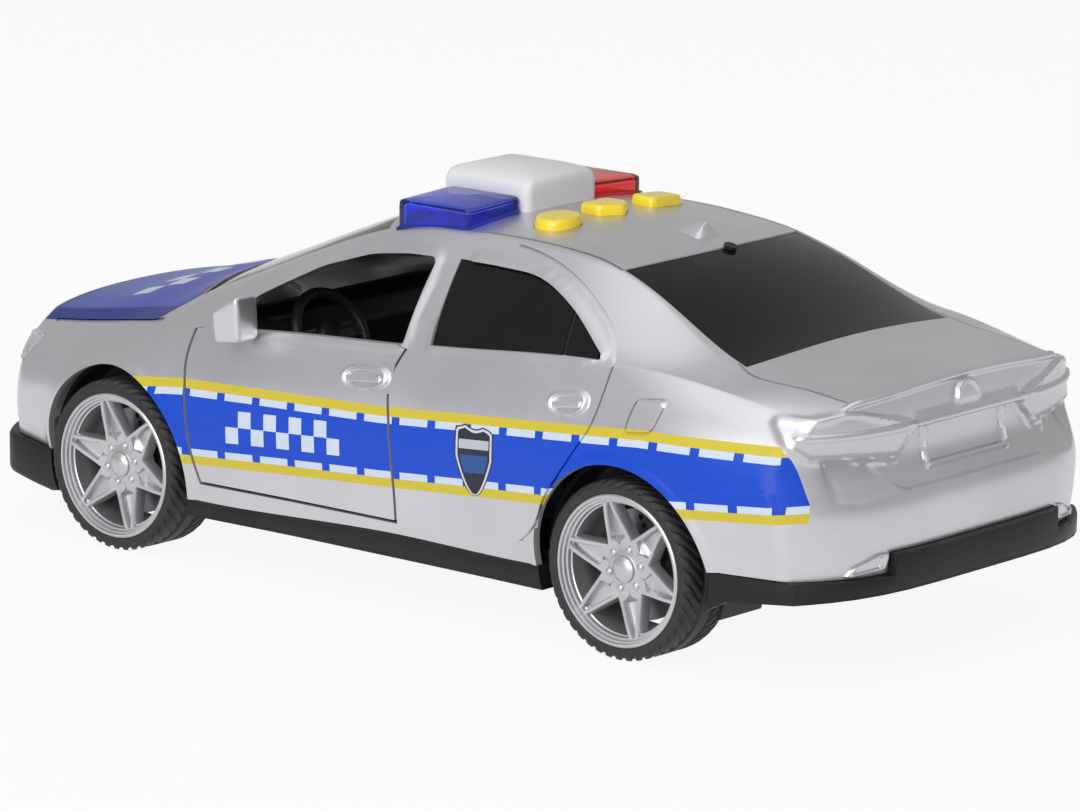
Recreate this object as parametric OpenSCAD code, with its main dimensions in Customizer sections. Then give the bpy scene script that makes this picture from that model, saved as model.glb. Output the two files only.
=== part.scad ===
// Toy police car: friction drive, opening front doors, light bar and three push buttons.
// X points forward, Y to the car's left and Z up. The origin is on the ground, under the middle of the
// length.

/* [Overall] */
// Length over the bumpers
length = 274; // [262:1:290]
// Width of the body over the wheel arches
body_w = 119; // [114:1:126]
// Height of the roof above the ground
roof_h = 89; // [86:1:94]
// Distance between the axles as a percentage of the length
wheelbase_percent = 58.03; // [56:0.01:60]
// Distance of the wheelbase's middle ahead of the car's middle
axle_shift = 2; // [0:0.5:5]

/* [Shell] */
// Wall of the body shell
wall = 1.6; // [1.2:0.1:2]
// Thickness of the window glass
glass_t = 1.4; // [1:0.1:1.8]
// Play between a fixed piece and its seat
fit = 0.15; // [0.1:0.05:0.25]
// Room between the tyre and the wheel arch
arch_gap = 3.8; // [3:0.1:4.6]
// How far the black bumpers stand out past the shell
bumper_out = 1.2; // [0.8:0.1:1.8]

/* [Chassis] */
// Thickness of the floor
floor_t = 2; // [1.6:0.1:2.4]
// Wall of the wheel housings and the tray
tray_wall = 1.2; // [1:0.1:1.6]
// Diameter of the bottom screws
screw_d = 2.6; // [2:0.1:3]

/* [Wheels] */
// Diameter of the tyre as a percentage of the roof's height
tyre_percent = 47.19; // [45:0.01:49]
// Width of the tyre
tyre_w = 17; // [15:0.5:18]
// Height of the tyre's side wall
sidewall_h = 3.25; // [2.5:0.05:4.5]
// How far the wheels' outer faces lie inside the body's sides
wheel_inset = 1.25; // [1:0.05:2.5]
// Diameter of the axles
axle_d = 3; // [2.6:0.1:3.4]
// Number of twin spokes
spokes = 6; // [5:1:7]
// Number of tread grooves round a tyre
tread_grooves = 32; // [24:2:40]
// Diameter of the brake disc as a percentage of the rim's
disc_percent = 73; // [68:1:78]

/* [Doors] */
// Length of a front door
door_len = 65.5; // [62:0.5:68]
// Gap round a front door
door_gap = 0.9; // [0.8:0.1:1.1]
// Diameter of a hinge pin
hinge_d = 1.5; // [1.3:0.1:1.7]
// Diameter of a hinge knuckle
knuckle_d = 3.2; // [3:0.1:3.6]

/* [Light bar] */
// Width across both lenses
bar_w = 63; // [58:1:66]
// Length of the coloured lenses
bar_l = 22.6; // [20:0.2:25]
// Height of the coloured lenses above the roof's crown
bar_h = 3.6; // [3:0.1:5]
// Width of the white middle
white_w = 25.5; // [22:0.5:28]
// Height of the white middle above the roof's crown
white_h = 9.6; // [8:0.2:11]

/* [Buttons] */
// Width of a button across the car
button_w = 12; // [10:0.5:13]
// Length of a button along the car
button_l = 10.5; // [9:0.5:12]
// Height of a button above the roof
button_h = 2.8; // [2.2:0.1:3.4]
// Distance between two buttons
button_pitch = 18; // [16.5:0.5:19]
// Travel of a button
button_travel = 1.5; // [1:0.1:1.8]

/* [Drive] */
// Size of the gear teeth (module)
tooth = 0.7; // [0.65:0.01:0.75]
// Teeth of the gear on the rear axle
axle_teeth = 14; // [13:1:16]
// Teeth of the idler's pinion
idler_pinion_teeth = 12; // [11:1:13]
// Teeth of the idler's wheel
idler_wheel_teeth = 18; // [17:1:20]
// Teeth of the flywheel's pinion
fly_teeth = 12; // [11:1:13]
// Width of the gears
gear_w = 3; // [2.6:0.1:3.4]
// Diameter of the flywheel
fly_d = 18; // [16:0.2:18.4]
// Width of the flywheel
fly_w = 6; // [5:0.2:7]
// Diameter of the idler and flywheel shafts
shaft_d = 2; // [1.6:0.1:2.2]
// Running clearance round a shaft
run = 0.08; // [0.05:0.01:0.1]

/* [Power and sound] */
// Diameter of a button cell
cell_d = 11.6; // [11:0.1:12]
// Thickness of a button cell
cell_t = 5.4; // [5:0.1:5.6]
// Number of button cells
cells = 3; // [2:1:3]
// Diameter of the speaker
speaker_d = 20; // [18:0.5:23]
// Height of the speaker
speaker_h = 5; // [4:0.2:5.6]
// Thickness of the circuit board
board_t = 1.6; // [1.2:0.2:1.8]

/* [Hidden] */
$fn = 48;

// Places that follow from the driving sizes
half_len = length / 2;
half_w = body_w / 2;
wheelbase = length * wheelbase_percent / 100;
tyre_d = roof_h * tyre_percent / 100;
rim_d = tyre_d - 2 * sidewall_h;
disc_d = rim_d * disc_percent / 100;
tail_s = bumper_out - half_len;
nose_s = half_len - bumper_out;
front_axle_x = axle_shift + wheelbase / 2;
rear_axle_x = axle_shift - wheelbase / 2;
axle_z = tyre_d / 2;
arch_r = tyre_d / 2 + arch_gap;
wheel_y = half_w - wheel_inset - tyre_w / 2;
well_y = wheel_y - tyre_w / 2 - arch_gap;
overrun = 1;
// Shares of the half length at which the rear and the front axle stand; the car's lines stretch
// between these marks
axle_shares = [-.5657, .5949];
share_marks = [[-2, -2 * half_len], [-1, -half_len], [axle_shares[0], rear_axle_x],
  [axle_shares[1], front_axle_x], [1, half_len], [2, 2 * half_len]];
function along(share) = lookup(share, share_marks);
function share_at(x) = lookup(x, [for (m = share_marks) [m[1], m[0]]]);

// Lines of the body along its length: share of the half length, then share of the half width or of the
// roof height
waist_y_shares = [[-1, .925], [-.84, .975], [-.58, 1], [-.22, .987], [.15, .985], [.6, 1], [.8, .966],
  [1, .89]];
sill_z_shares = [[-1, .28], [-.74, .27], [-.44, .21], [-.04, .205], [.41, .187], [.73, .219], [1, .23]];
belt_y_shares = [[-1, .78], [-.88, .815], [-.73, .85], [-.49, .883], [-.12, .89], [.3, .887], [.42, .882],
  [.55, .866], [.75, .823], [.86, .798], [1, .74]];
belt_z_shares = [[-1, .675], [-.88, .708], [-.73, .742], [-.49, .753], [-.12, .712], [.23, .678], [.42, .652],
  [.55, .633], [.75, .584], [.86, .55], [1, .505]];
rail_y_shares = [[-1, .605], [-.88, .64], [-.77, .655], [-.715, .652], [-.47, .566], [-.4, .548],
  [-.29, .543], [-.07, .546], [.04, .555], [.1, .575], [.47, .726], [.52, .733], [.57, .723], [.7, .69],
  [.85, .672], [1, .605]];
rail_z_shares = [[-1, .717], [-.88, .737], [-.77, .753], [-.715, .773], [-.47, .917], [-.4, .948],
  [-.29, .97], [-.07, .976], [.04, .963], [.1, .937], [.47, .708], [.52, .679], [.57, .665], [.7, .638],
  [.85, .607], [1, .573]];
top_z_shares = [[-1, .737], [-.88, .757], [-.8, .77], [-.745, .793], [-.48, .948], [-.41, .979], [-.29, .994],
  [-.07, 1], [.09, .989], [.175, .966], [.23, .935], [.555, .738], [.61, .71], [.72, .683], [.88, .629],
  [1, .596]];
// Profile of the tail and the nose: share of the roof height, then share of the rake
tail_rake = 5;
tail_shares = [[.2, .3], [.28, .2], [.36, 0], [.46, 0], [.5, .24], [.56, .64], [.65, .72], [.74, 1]];
nose_rake = 12;
nose_shares = [[.17, .08], [.25, .04], [.36, 0], [.45, .125], [.52, .375], [.585, .75], [.63, 1]];
// Plan curve of the tail and the nose, and how far it reaches along the body
tail_bow = half_len * .1606;
tail_bow_power = 4.5;
tail_blend = half_len * .5474;
nose_bow = half_len * .1752;
nose_bow_power = 3.2;
nose_blend = half_len * .511;
sill_tuck = 2.6;
glass_bulge = 1.6;
glass_bulge_h = 20;

function clamp(t) = min(max(t, 0), 1);
function mix(a, b, t) = a + (b - a) * t;
function steps(n) = [for (i = [0:n]) i / n];

// Smooth line through the knots k: cubic pieces with weighted slopes
function chord(k, i) = (k[i + 1][1] - k[i][1]) / (k[i + 1][0] - k[i][0]);
function slope(k, i) = let (n = len(k) - 1)
  i == 0 ? chord(k, 0) : i == n ? chord(k, n - 1) :
  let (a = k[i][0] - k[i - 1][0], b = k[i + 1][0] - k[i][0])
  (chord(k, i - 1) * b + chord(k, i) * a) / (a + b);
function piece(x, k, i = 0) = i >= len(k) - 2 || x < k[i + 1][0] ? i : piece(x, k, i + 1);
function smooth(x, k) = let (
    q = min(max(x, k[0][0]), k[len(k) - 1][0]), i = piece(q, k),
    h = k[i + 1][0] - k[i][0], t = (q - k[i][0]) / h)
  (2 * t ^ 3 - 3 * t ^ 2 + 1) * k[i][1] + (t ^ 3 - 2 * t ^ 2 + t) * h * slope(k, i)
  + (3 * t ^ 2 - 2 * t ^ 3) * k[i + 1][1] + (t ^ 3 - t ^ 2) * h * slope(k, i + 1);

function waist_y(s) = half_w * smooth(share_at(s), waist_y_shares);
function sill_z(s) = roof_h * smooth(share_at(s), sill_z_shares);
function belt_y(s) = half_w * smooth(share_at(s), belt_y_shares);
function belt_z(s) = roof_h * smooth(share_at(s), belt_z_shares);
function rail_y(s) = half_w * smooth(share_at(s), rail_y_shares);
function rail_z(s) = roof_h * smooth(share_at(s), rail_z_shares);
function top_z(s) = roof_h * smooth(share_at(s), top_z_shares);

// Half width of the body side at station s and height z, drawn in by d
function side_y(s, z, d = 0) = let (
    w = waist_y(s), zs = sill_z(s), zb = belt_z(s), zw = (zs + zb) / 2)
  (z < zw ? w - sill_tuck * ((zw - z) / (zw - zs)) ^ 2
   : w - (w - belt_y(s)) * clamp((z - zw) / (zb - zw)) ^ 2.2) - d;
// Half width of the glasshouse
function glass_y(s, z, d = 0) = let (
    zb = belt_z(s), zr = rail_z(s), t = clamp((z - zb) / (zr - zb)))
  mix(belt_y(s), rail_y(s), t) + glass_bulge * 4 * t * (1 - t) * min(1, (zr - zb) / glass_bulge_h) - d;
function skin_y(s, z, d = 0) = z < belt_z(s) ? side_y(s, z, d) : glass_y(s, z, d);
// Height of the crowned top surface
function roof_z(s, y, d = 0) = let (r = rail_y(s), zr = rail_z(s))
  zr + (top_z(s) - zr) * (1 - (y / r) ^ 2) - d;
// Real x of a point of station s: near the ends the stations take the bowed and raked form of tail and nose
function place(s, y, z) = let (
    a = abs(y) / half_w, h = z / roof_h,
    at_tail = 1 - clamp((s - tail_s) / tail_blend), at_nose = 1 - clamp((nose_s - s) / nose_blend))
  s + at_tail * (tail_rake * smooth(h, tail_shares) + tail_bow * a ^ tail_bow_power)
  - at_nose * (nose_rake * smooth(h, nose_shares) + nose_bow * a ^ nose_bow_power);

// Solid of the body drawn in by d: rings from the sill over the roof to the other sill, closed at tail
// and nose
function half_ring(s, d, n, bottom) = let (zb = belt_z(s), zr = rail_z(s) - d, r = rail_y(s))
  concat(
    [for (t = steps(n[0])) if (t < 1) let (z = mix(sill_z(s) - bottom, zb, t)) [side_y(s, z, d), z]],
    [for (t = steps(n[1])) if (t < 1) let (z = mix(zb, zr, t)) [glass_y(s, z, d), z]],
    [for (t = steps(n[2])) let (y = r * (1 - t)) [y * (r - d) / r, roof_z(s, y, d)]]);
function ring(s, f, d, n, bottom) = let (h = half_ring(s, d, n, bottom), m = len(h))
  [for (j = [0:2 * m - 2]) let (p = h[min(j, 2 * m - 2 - j)], y = p[0] * f * (j < m ? 1 : -1))
    [place(s, y, p[1]), y, p[1]]];
end_shares = [0, .3, .55, .8];
module body_solid(d, stations, n, bottom = 0) {
  s0 = tail_s + d;
  s1 = nose_s - d;
  levels = concat(
    [for (f = end_shares) [s0, f]],
    [for (t = steps(stations)) [mix(s0, s1, t), 1]],
    [for (i = [len(end_shares) - 1:-1:0]) [s1, end_shares[i]]]);
  last = len(levels) - 1;
  m = n[0] + n[1] + n[2] + 1;
  count = 2 * m - 1;
  pts = [for (l = levels) each ring(l[0], l[1], d, n, bottom)];
  function id(k, j) = k * count + ((k == 0 || k == last) && j >= m ? count - 1 - j : j);
  faces = [for (k = [0:last - 1], j = [0:count - 1]) let (
      i = (j + 1) % count, a = id(k, j), b = id(k, i), c = id(k + 1, i), e = id(k + 1, j))
    each [[a, c, b], [a, e, c]]];
  polyhedron(pts, [for (f = faces) if (f[0] != f[1] && f[1] != f[2] && f[0] != f[2]) f]);
}

// Sheet between two grids of points, the outer one first
module sheet(outer, inner) {
  rows = len(outer);
  cols = len(outer[0]);
  n = rows * cols;
  pts = concat([for (r = outer) each r], [for (r = inner) each r]);
  edge = concat([for (j = [0:cols - 1]) j], [for (i = [1:rows - 1]) i * cols + cols - 1],
    [for (j = [cols - 2:-1:0]) (rows - 1) * cols + j], [for (i = [rows - 2:-1:1]) i * cols]);
  faces = concat(
    [for (i = [0:rows - 2], j = [0:cols - 2]) let (a = i * cols + j, b = a + 1, c = b + cols, e = a + cols)
      each [[a, b, c], [a, c, e], [n + a, n + c, n + b], [n + a, n + e, n + c]]],
    [for (k = [0:len(edge) - 1]) let (a = edge[k], b = edge[(k + 1) % len(edge)])
      each [[b, a, n + a], [b, n + a, n + b]]]);
  polyhedron(pts, faces);
}
module mirrored() mirror([0, 1, 0]) children();
module both_sides() {
  children();
  mirrored() children();
}
// Cuts and pieces that run along the width or the length
module along_y(y0, y1) translate([0, y1, 0]) rotate([90, 0, 0]) linear_extrude(y1 - y0) children();
module rod(d, y0, y1, n = $fn) translate([0, y0, 0]) rotate([-90, 0, 0])
  cylinder(d = d, h = y1 - y0, $fn = n);

// Windows: outlines as shares of the half length and the roof height or the half width
windscreen_foot_shares = [.51, .67];
windscreen_head_shares = [.125, .5];
windscreen_bow = [half_len * .073, half_len * .073];
rear_head_shares = [-.415, .535];
rear_foot_shares = [-.745, .63];
rear_bow = [-half_len * .0365, -half_len * .0073];
function pane_point(head, foot, bow, u, v, grow) = let (
    y = half_w * (mix(foot[1], head[1], u) * v) + sign(v) * grow * abs(v) ^ 8,
    s = along(mix(foot[0], head[0], u)) + mix(bow[0], bow[1], u) * (1 - v ^ 2)) [s, y];
// Grid of a window in the top surface, from its foot to its head and from right to left
function pane(head, foot, bow, grow, d, flip) = [for (u = steps(8)) [for (v = steps(12)) let (
    p = pane_point(head, foot, bow, u, flip * (2 * v - 1), grow),
    s = p[0] + sign(foot[0] - head[0]) * grow * (1 - 2 * u), z = roof_z(s, p[1], d))
  [place(s, p[1], z), p[1], z]]];
module top_pane(head, foot, bow, flip, grow, d0, d1)
  sheet(pane(head, foot, bow, grow, d0, flip), pane(head, foot, bow, grow, d1, flip));

// Rear side window: foot along the belt, head as a table of share along the window and share of the
// roof height
side_foot_shares = [-.121, -.49];
side_head_shares = [-.094, -.487];
side_head_z_shares = [[0, .917], [.25, .917], [.47, .909], [.73, .857], [1, .772]];
side_foot_rise = 0.4;
function side_pane(grow, d) = [for (t = steps(6)) [for (v = steps(10)) let (
    u = 1 - v,
    foot_s = along(mix(side_foot_shares[0], side_foot_shares[1], u)),
    head_s = along(mix(side_head_shares[0], side_head_shares[1], u)),
    foot_z = belt_z(foot_s) + side_foot_rise - grow,
    head_z = roof_h * smooth(u, side_head_z_shares) + grow,
    s = mix(foot_s, head_s, t) + grow * (1 - 2 * u), z = mix(foot_z, head_z, t), y = glass_y(s, z, d))
  [place(s, y, z), y, z]]];
module side_glass(grow, d0, d1) sheet(side_pane(grow, d0), side_pane(grow, d1));

// Front door: edges as shares of the door's length against shares of the roof height
door_front_x = front_axle_x - arch_r;
door_rear_x = door_front_x - door_len;
door_front_shares = [[.23, -.065], [.33, -.026], [.41, -.012], [.49, 0], [.57, .023], [.65, .03]];
door_rear_shares = [[.23, -.01], [.29, -.017], [.505, 0], [.63, .018], [.72, -.03]];
door_foot_share = .235;
door_foot_z = roof_h * door_foot_share;
function door_edge(shares, x, z) = x + door_len * smooth(z / roof_h, shares);
function door_point(t, c, gap) = let (
    z = mix(door_foot_z + gap, belt_z(mix(door_rear_x, door_front_x, c)) - gap / 2, t),
    x = mix(door_edge(door_rear_shares, door_rear_x, z) + gap,
      door_edge(door_front_shares, door_front_x, z) - gap, c))
  [x, z];
function door_grid(gap, d, cols = 10) = [for (t = steps(9)) [for (c = steps(cols)) let (
    p = door_point(t, c, gap)) [p[0], side_y(p[0], p[1], d), p[1]]]];
door_outline = concat(
  [for (t = steps(12)) door_point(t, 1, 0)],
  [for (t = steps(12)) let (x = mix(door_edge(door_front_shares, door_front_x, belt_z(door_front_x)),
      door_edge(door_rear_shares, door_rear_x, belt_z(door_rear_x)), t)) [x, belt_z(x) + overrun]],
  [for (t = steps(12)) door_point(1 - t, 0, 0)]);
// Open front window above the door
front_window_shares = [[.345, .67], [.325, .74], [.28, .78], [.2, .845], [.1, .894], [.02, .91],
  [-.048, .914], [-.062, .7]];
front_window_r = 2.5;
module front_window_outline() offset(front_window_r) offset(-front_window_r)
  polygon(concat([for (p = front_window_shares) [along(p[0]), roof_h * p[1]]], [for (t = steps(6)) let (
    x = along(mix(front_window_shares[len(front_window_shares) - 1][0], front_window_shares[0][0], t)))
    [x, belt_z(x) - overrun]]));

// Tail and nose pieces: columns of station and share of the width, rows of height, stood out by d
function corner_point(l, z, d) = let (
    way = l[0] < 0 ? -1 : 1, y = l[1] * side_y(l[0], z),
    on_end = l[0] == tail_s || l[0] == nose_s, on_side = l[1] == 1)
  [place(l[0], y, z) + (on_end ? way * d : 0), y + (on_side ? d : 0), z];
module corner_sheet(levels, z0, z1, d0, d1, rows = 4) {
  function grid(d) = [for (t = steps(rows)) [for (i = [0:len(levels) - 1]) let (
      lo = is_list(z0) ? mix(z0[0], z0[1], i / (len(levels) - 1)) : z0,
      hi = is_list(z1) ? mix(z1[0], z1[1], i / (len(levels) - 1)) : z1)
    corner_point(levels[i], mix(lo, hi, t), d)]];
  function turned(g) = [for (r = g) [for (i = [len(r) - 1:-1:0]) r[i]]];
  if (levels[0][0] < 0) sheet(grid(d0), grid(d1));
  else sheet(turned(grid(d0)), turned(grid(d1)));
}
tail_levels = [[tail_s, .4], [tail_s, .55], [tail_s, .7], [tail_s, .85], [tail_s, 1],
  [tail_s + tail_bow / 4, 1]];
bar_levels = concat([[tail_s, -.05], [tail_s, .2]], tail_levels);
function head_levels(grow) = [[nose_s, .5 - grow / half_w], [nose_s, .65], [nose_s, .8], [nose_s, .9],
  [nose_s, 1], [nose_s - nose_bow / 4, 1], [nose_s - nose_bow / 2 - grow, 1]];
head_z = [roof_h * .455, roof_h * .5];
head_top_z = [roof_h * .535, roof_h * .525];
module headlight_form(grow, d0, d1) corner_sheet(head_levels(grow), [head_z[0] - grow, head_z[1] - grow],
  [head_top_z[0] + grow, head_top_z[1] + grow], d0, d1);

// Buttons on the roof
button_s = along(-.185);
button_r = 2;
button_places = [button_pitch, 0, -button_pitch];
module button_outline(i) {
  if (i == 0) scale([button_l / button_w, 1]) circle(d = button_w);
  if (i == 1) offset(button_r) offset(-button_r) polygon([[-button_l / 2, 0], [-button_l / 6, button_w / 2],
    [button_l / 2, button_w / 2], [button_l / 2, -button_w / 2], [-button_l / 6, -button_w / 2]]);
  if (i == 2) offset(button_r) offset(-button_r) square([button_l * .72, button_w], center = true);
}
// Clearance between moving pieces
clear = 0.3;
// How far the glass lies below the shell's surface
glass_set = 0.2;
flange = 1.2;
module at_button(i) translate([button_s, button_places[i], 0]) children();
function button_roof(i) = roof_z(button_s, abs(button_places[i]) + button_w / 2 + flange);
// Depth of the circuit board below the roof, and its margin past the outer lamps
board_drop = 9.4;
board_edge = 4;
board_top = roof_h - board_drop;
switch_h = 2.4;
led_d = 5;
bar_x = along(.014);
lens_y = [white_w / 2 + fit, bar_w / 2];
lens_mid_y = (lens_y[0] + lens_y[1]) / 2;
led_places = [[bar_x, lens_mid_y], [bar_x, 0], [bar_x, -lens_mid_y]];

// Colours
silver = [.72, .73, .76];
black = [.05, .05, .055];
smoke = [.15, .16, .18, .8];
steel = [.75, .75, .77];
clear_white = [.85, .88, .92, .6];
yellow = [.95, .72, .04];

// Screw posts between shell and chassis
post_d = 6;
post_z = roof_h * .337;
screw_seat_z = roof_h * .27;
head_d = 5;
head_h = 1.8;
post_places = [[front_axle_x + arch_r / 2, half_w * .3], [tail_s + tail_bow * .8, half_w * .5]];
board_places = [[along(-.285), half_w * .37], [along(.07), half_w * .34]];
board_post_d = 4;

// Grooves that mark panel edges on the side: path of stations and heights
groove_w = 0.7;
groove_t = 0.6;
function groove_side(path, d) = [for (e = [-1, 1]) [for (i = [0:len(path) - 1]) let (
    a = path[max(i - 1, 0)], b = path[min(i + 1, len(path) - 1)],
    n = [a[1] - b[1], b[0] - a[0]] / norm(b - a),
    q = path[i] + n * e * groove_w / 2, y = skin_y(q[0], q[1], d)) [place(q[0], y, q[1]), y, q[1]]]];
module groove(path) sheet(groove_side(path, -overrun), groove_side(path, groove_t));
rear_door_shares = [[-.43, .42], [-.47, .46], [-.51, .52], [-.535, .58], [-.55, .64], [-.555, .7],
  [-.547, .762], [-.49, .815], [-.43, .862], [-.36, .91], [-.3, .936]];
rear_door_path = [for (i = [len(rear_door_shares) - 1:-1:0])
  [along(rear_door_shares[i][0]), roof_h * rear_door_shares[i][1]]];
flap_s = along(-.69);
flap_z = roof_h * .655;
flap_l = 11;
flap_r = 2;
module flap_outline() offset(flap_r) square([flap_l - 2 * flap_r, flap_l * .62 - 2 * flap_r], center = true);

// Door handles: a shallow dish with a grip across it
handle_l = 15;
handle_w = 5.4;
handle_tilt = 9;
dish_t = 0.8;
grip_out = 0.9;
rear_handle = [along(-.465), roof_h * .648];
front_handle = [door_rear_x + door_len * .143, roof_h * .612];
spine_w = 0.2;
module capsule(l, w) offset(w / 2 - spine_w / 2) square([l - w + spine_w, spine_w], center = true);
module on_side(at, d0, d1) {
  y = skin_y(at[0], at[1]);
  x = place(at[0], y, at[1]);
  translate([x, 0, at[1]]) along_y(y + d0, y + d1) rotate(handle_tilt) children();
}

// Tail moulding
notch_y = half_w * .52;
notch_z = roof_h * .337;
notch_l = 9;
lamp_z = [roof_h * .565, roof_h * .588];
tail_bar_z = [roof_h * .637, roof_h * .662];
lamp_out = 0.8;
bar_out = 1.2;
plate_levels = [[tail_s, -.29], [tail_s, -.1], [tail_s, .1], [tail_s, .29]];
plate_z = [roof_h * .548, roof_h * .627];
panel_levels = [[tail_s, -.5], [tail_s, -.25], [tail_s, 0], [tail_s, .25], [tail_s, .5]];
panel_z = [roof_h * .492, roof_h * .632];
panel_t = 0.7;
rim_t = 1.1;
boss_r = 5.2;
boss_z = roof_h * .675;
fin_l = 9;
fin_h = 2;
fin_w = 3.4;
fin_s = along(-.37);
reflector_shares = [[.56, .335], [.56, .29], [.71, .29]];

module body_shell() color(silver) {
  $fn = 18;
  difference() {
    union() {
      difference() {
        body_solid(0, 34, [7, 4, 6]);
        body_solid(wall, 24, [4, 3, 4], overrun);
      }
      intersection() {
        body_solid(wall / 2, 20, [4, 3, 4], overrun);
        both_sides() {
          for (p = post_places) translate([p[0], p[1], post_z]) {
            cylinder(d = post_d, h = roof_h);
            hull() {
              translate([0, 0, roof_h * .2]) cylinder(d = post_d, h = overrun);
              translate([0, 0, roof_h]) cylinder(d = post_d * 2.4, h = overrun);
            }
          }
          for (p = board_places) translate([p[0], p[1], board_top]) cylinder(d = board_post_d, h = roof_h);
        }
      }
      // Tail bar, lamp clusters and the boss over the plate
      both_sides() {
        corner_sheet(bar_levels, tail_bar_z[0], tail_bar_z[1], bar_out, -wall * .6, 2);
        corner_sheet(tail_levels, lamp_z[0], lamp_z[1], lamp_out, -wall * .6, 2);
        hull() for (q = reflector_shares) let (y = half_w * q[0], z = roof_h * q[1])
          translate([place(tail_s, y, z) - lamp_out, y, z]) rotate([0, 90, 0])
            cylinder(d = rim_t, h = wall, $fn = 12);
        on_side(rear_handle, -wall / 2, 0) capsule(handle_l, handle_w);
        hull() for (e = [-1, 1]) translate([place(rear_handle[0], half_w, rear_handle[1]) + e * handle_l / 3,
          skin_y(rear_handle[0], rear_handle[1]), rear_handle[1] + e * handle_l / 3 * sin(handle_tilt)])
          sphere(d = 2 * grip_out, $fn = 12);
      }
      intersection() {
        translate([place(tail_s, 0, boss_z) - lamp_out, 0, boss_z]) rotate([0, 90, 0])
          cylinder(r = boss_r, h = wall);
        translate([-length, -boss_r, boss_z]) cube([length, 2 * boss_r, boss_r]);
      }
      // Fin on the rear of the roof
      hull() {
        translate([fin_s, 0, roof_z(fin_s, 0) - wall / 2]) cylinder(d = fin_w, h = wall / 2);
        translate([fin_s - fin_l, 0, roof_z(fin_s - fin_l, 0) - wall / 2])
          cylinder(d = fin_w, h = wall / 2 + fin_h);
      }
      // Tab under the rear window for its screw
      tab();
    }
    both_sides() {
      for (x = [front_axle_x, rear_axle_x]) translate([x, 0, axle_z])
        rod(2 * arch_r, well_y, half_w + overrun, 48);
      along_y(half_w * .6, half_w + overrun) polygon(door_outline);
      along_y(half_w * .4, half_w + overrun) front_window_outline();
      side_glass(fit, -overrun, wall + overrun);
      headlight_form(2 * fit, 2 * overrun, -wall - 2 * overrun);
      groove(rear_door_path);
      for (p = post_places) translate([p[0], p[1], post_z - overrun])
        cylinder(d = screw_d + 2 * fit, h = roof_h * .2, $fn = 24);
      on_side(rear_handle, -dish_t / 4, overrun) difference() {
        capsule(handle_l - groove_w, handle_w - groove_w);
        square([handle_l, 2 * grip_out + groove_w], center = true);
      }
    }
    translate([place(flap_s, half_w, flap_z), 0, flap_z])
      along_y(skin_y(flap_s, flap_z) - groove_t, half_w + overrun) difference() {
        flap_outline();
        offset(-groove_w) flap_outline();
      }
    top_pane(windscreen_head_shares, windscreen_foot_shares, windscreen_bow, -1, fit,
      -overrun, wall + overrun);
    top_pane(rear_head_shares, rear_foot_shares, rear_bow, 1, fit, -overrun, wall + overrun);
    translate([-half_len - overrun, -notch_y, 0]) cube([notch_l + 2 * overrun, 2 * notch_y, notch_z]);
    difference() {
      corner_sheet(panel_levels, panel_z[0], panel_z[1], overrun, -panel_t);
      corner_sheet(plate_levels, plate_z[0], plate_z[1], 2 * overrun, -wall);
    }
    corner_sheet([for (l = plate_levels) [l[0], l[1] * .9]], plate_z[0] + rim_t, plate_z[1] - rim_t,
      overrun, -panel_t);
    for (i = [0:2]) at_button(i) translate([0, 0, board_top]) linear_extrude(roof_h)
      offset(clear) button_outline(i);
    for (p = led_places) translate([p[0], p[1], board_top])
      cylinder(d = led_d + 2 * clear, h = roof_h, $fn = 24);
    at_window_screw() cylinder(d = window_screw_d + fit, h = 4 * wall, center = true, $fn = 24);
  }
}

// Screw in the rear window and the tab it holds to
window_screw_s = along(-.456);
window_screw_d = 1.6;
tab_w = 6;
window_screw_tilt = atan((roof_z(window_screw_s + overrun, 0) - roof_z(window_screw_s - overrun, 0))
  / (2 * overrun));
module at_window_screw() translate([window_screw_s, 0, roof_z(window_screw_s, 0)])
  rotate([0, -window_screw_tilt, 0]) children();
function strip(s0, s1, d) = [for (t = steps(4)) [for (e = [-1, 1]) let (s = mix(s0, s1, t), y = e * tab_w / 2)
  [s, y, roof_z(s, y, d)]]];
tab_d = glass_t + glass_set + fit;
module tab() {
  s0 = window_screw_s - tab_w / 2;
  s1 = along(rear_head_shares[0]) - rear_bow[0];
  sheet(strip(s0, s1, tab_d), strip(s0, s1, tab_d + wall));
  sheet(strip(s1 - tab_w / 2, s1, wall / 2), strip(s1 - tab_w / 2, s1, tab_d + wall));
}
module rear_window_screw() color(steel) at_window_screw() {
  translate([0, 0, -glass_set]) cylinder(d = 2 * window_screw_d, h = wall / 2);
  translate([0, 0, -glass_set - glass_t - wall])
    cylinder(d = window_screw_d, h = glass_t + wall + overrun / 4);
}

// Windows
module windscreen() color(smoke)
  top_pane(windscreen_head_shares, windscreen_foot_shares, windscreen_bow, -1, 0,
    glass_set, glass_set + glass_t);
module rear_window() color(smoke) difference() {
  top_pane(rear_head_shares, rear_foot_shares, rear_bow, 1, 0, glass_set, glass_set + glass_t);
  at_window_screw() cylinder(d = window_screw_d + fit, h = 4 * wall, center = true);
}
module left_side_window() color(smoke) side_glass(0, glass_set, glass_set + glass_t);
module right_side_window() mirrored() left_side_window();
module left_headlight() color(clear_white) headlight_form(0, fit, -wall);
module right_headlight() mirrored() left_headlight();

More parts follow.
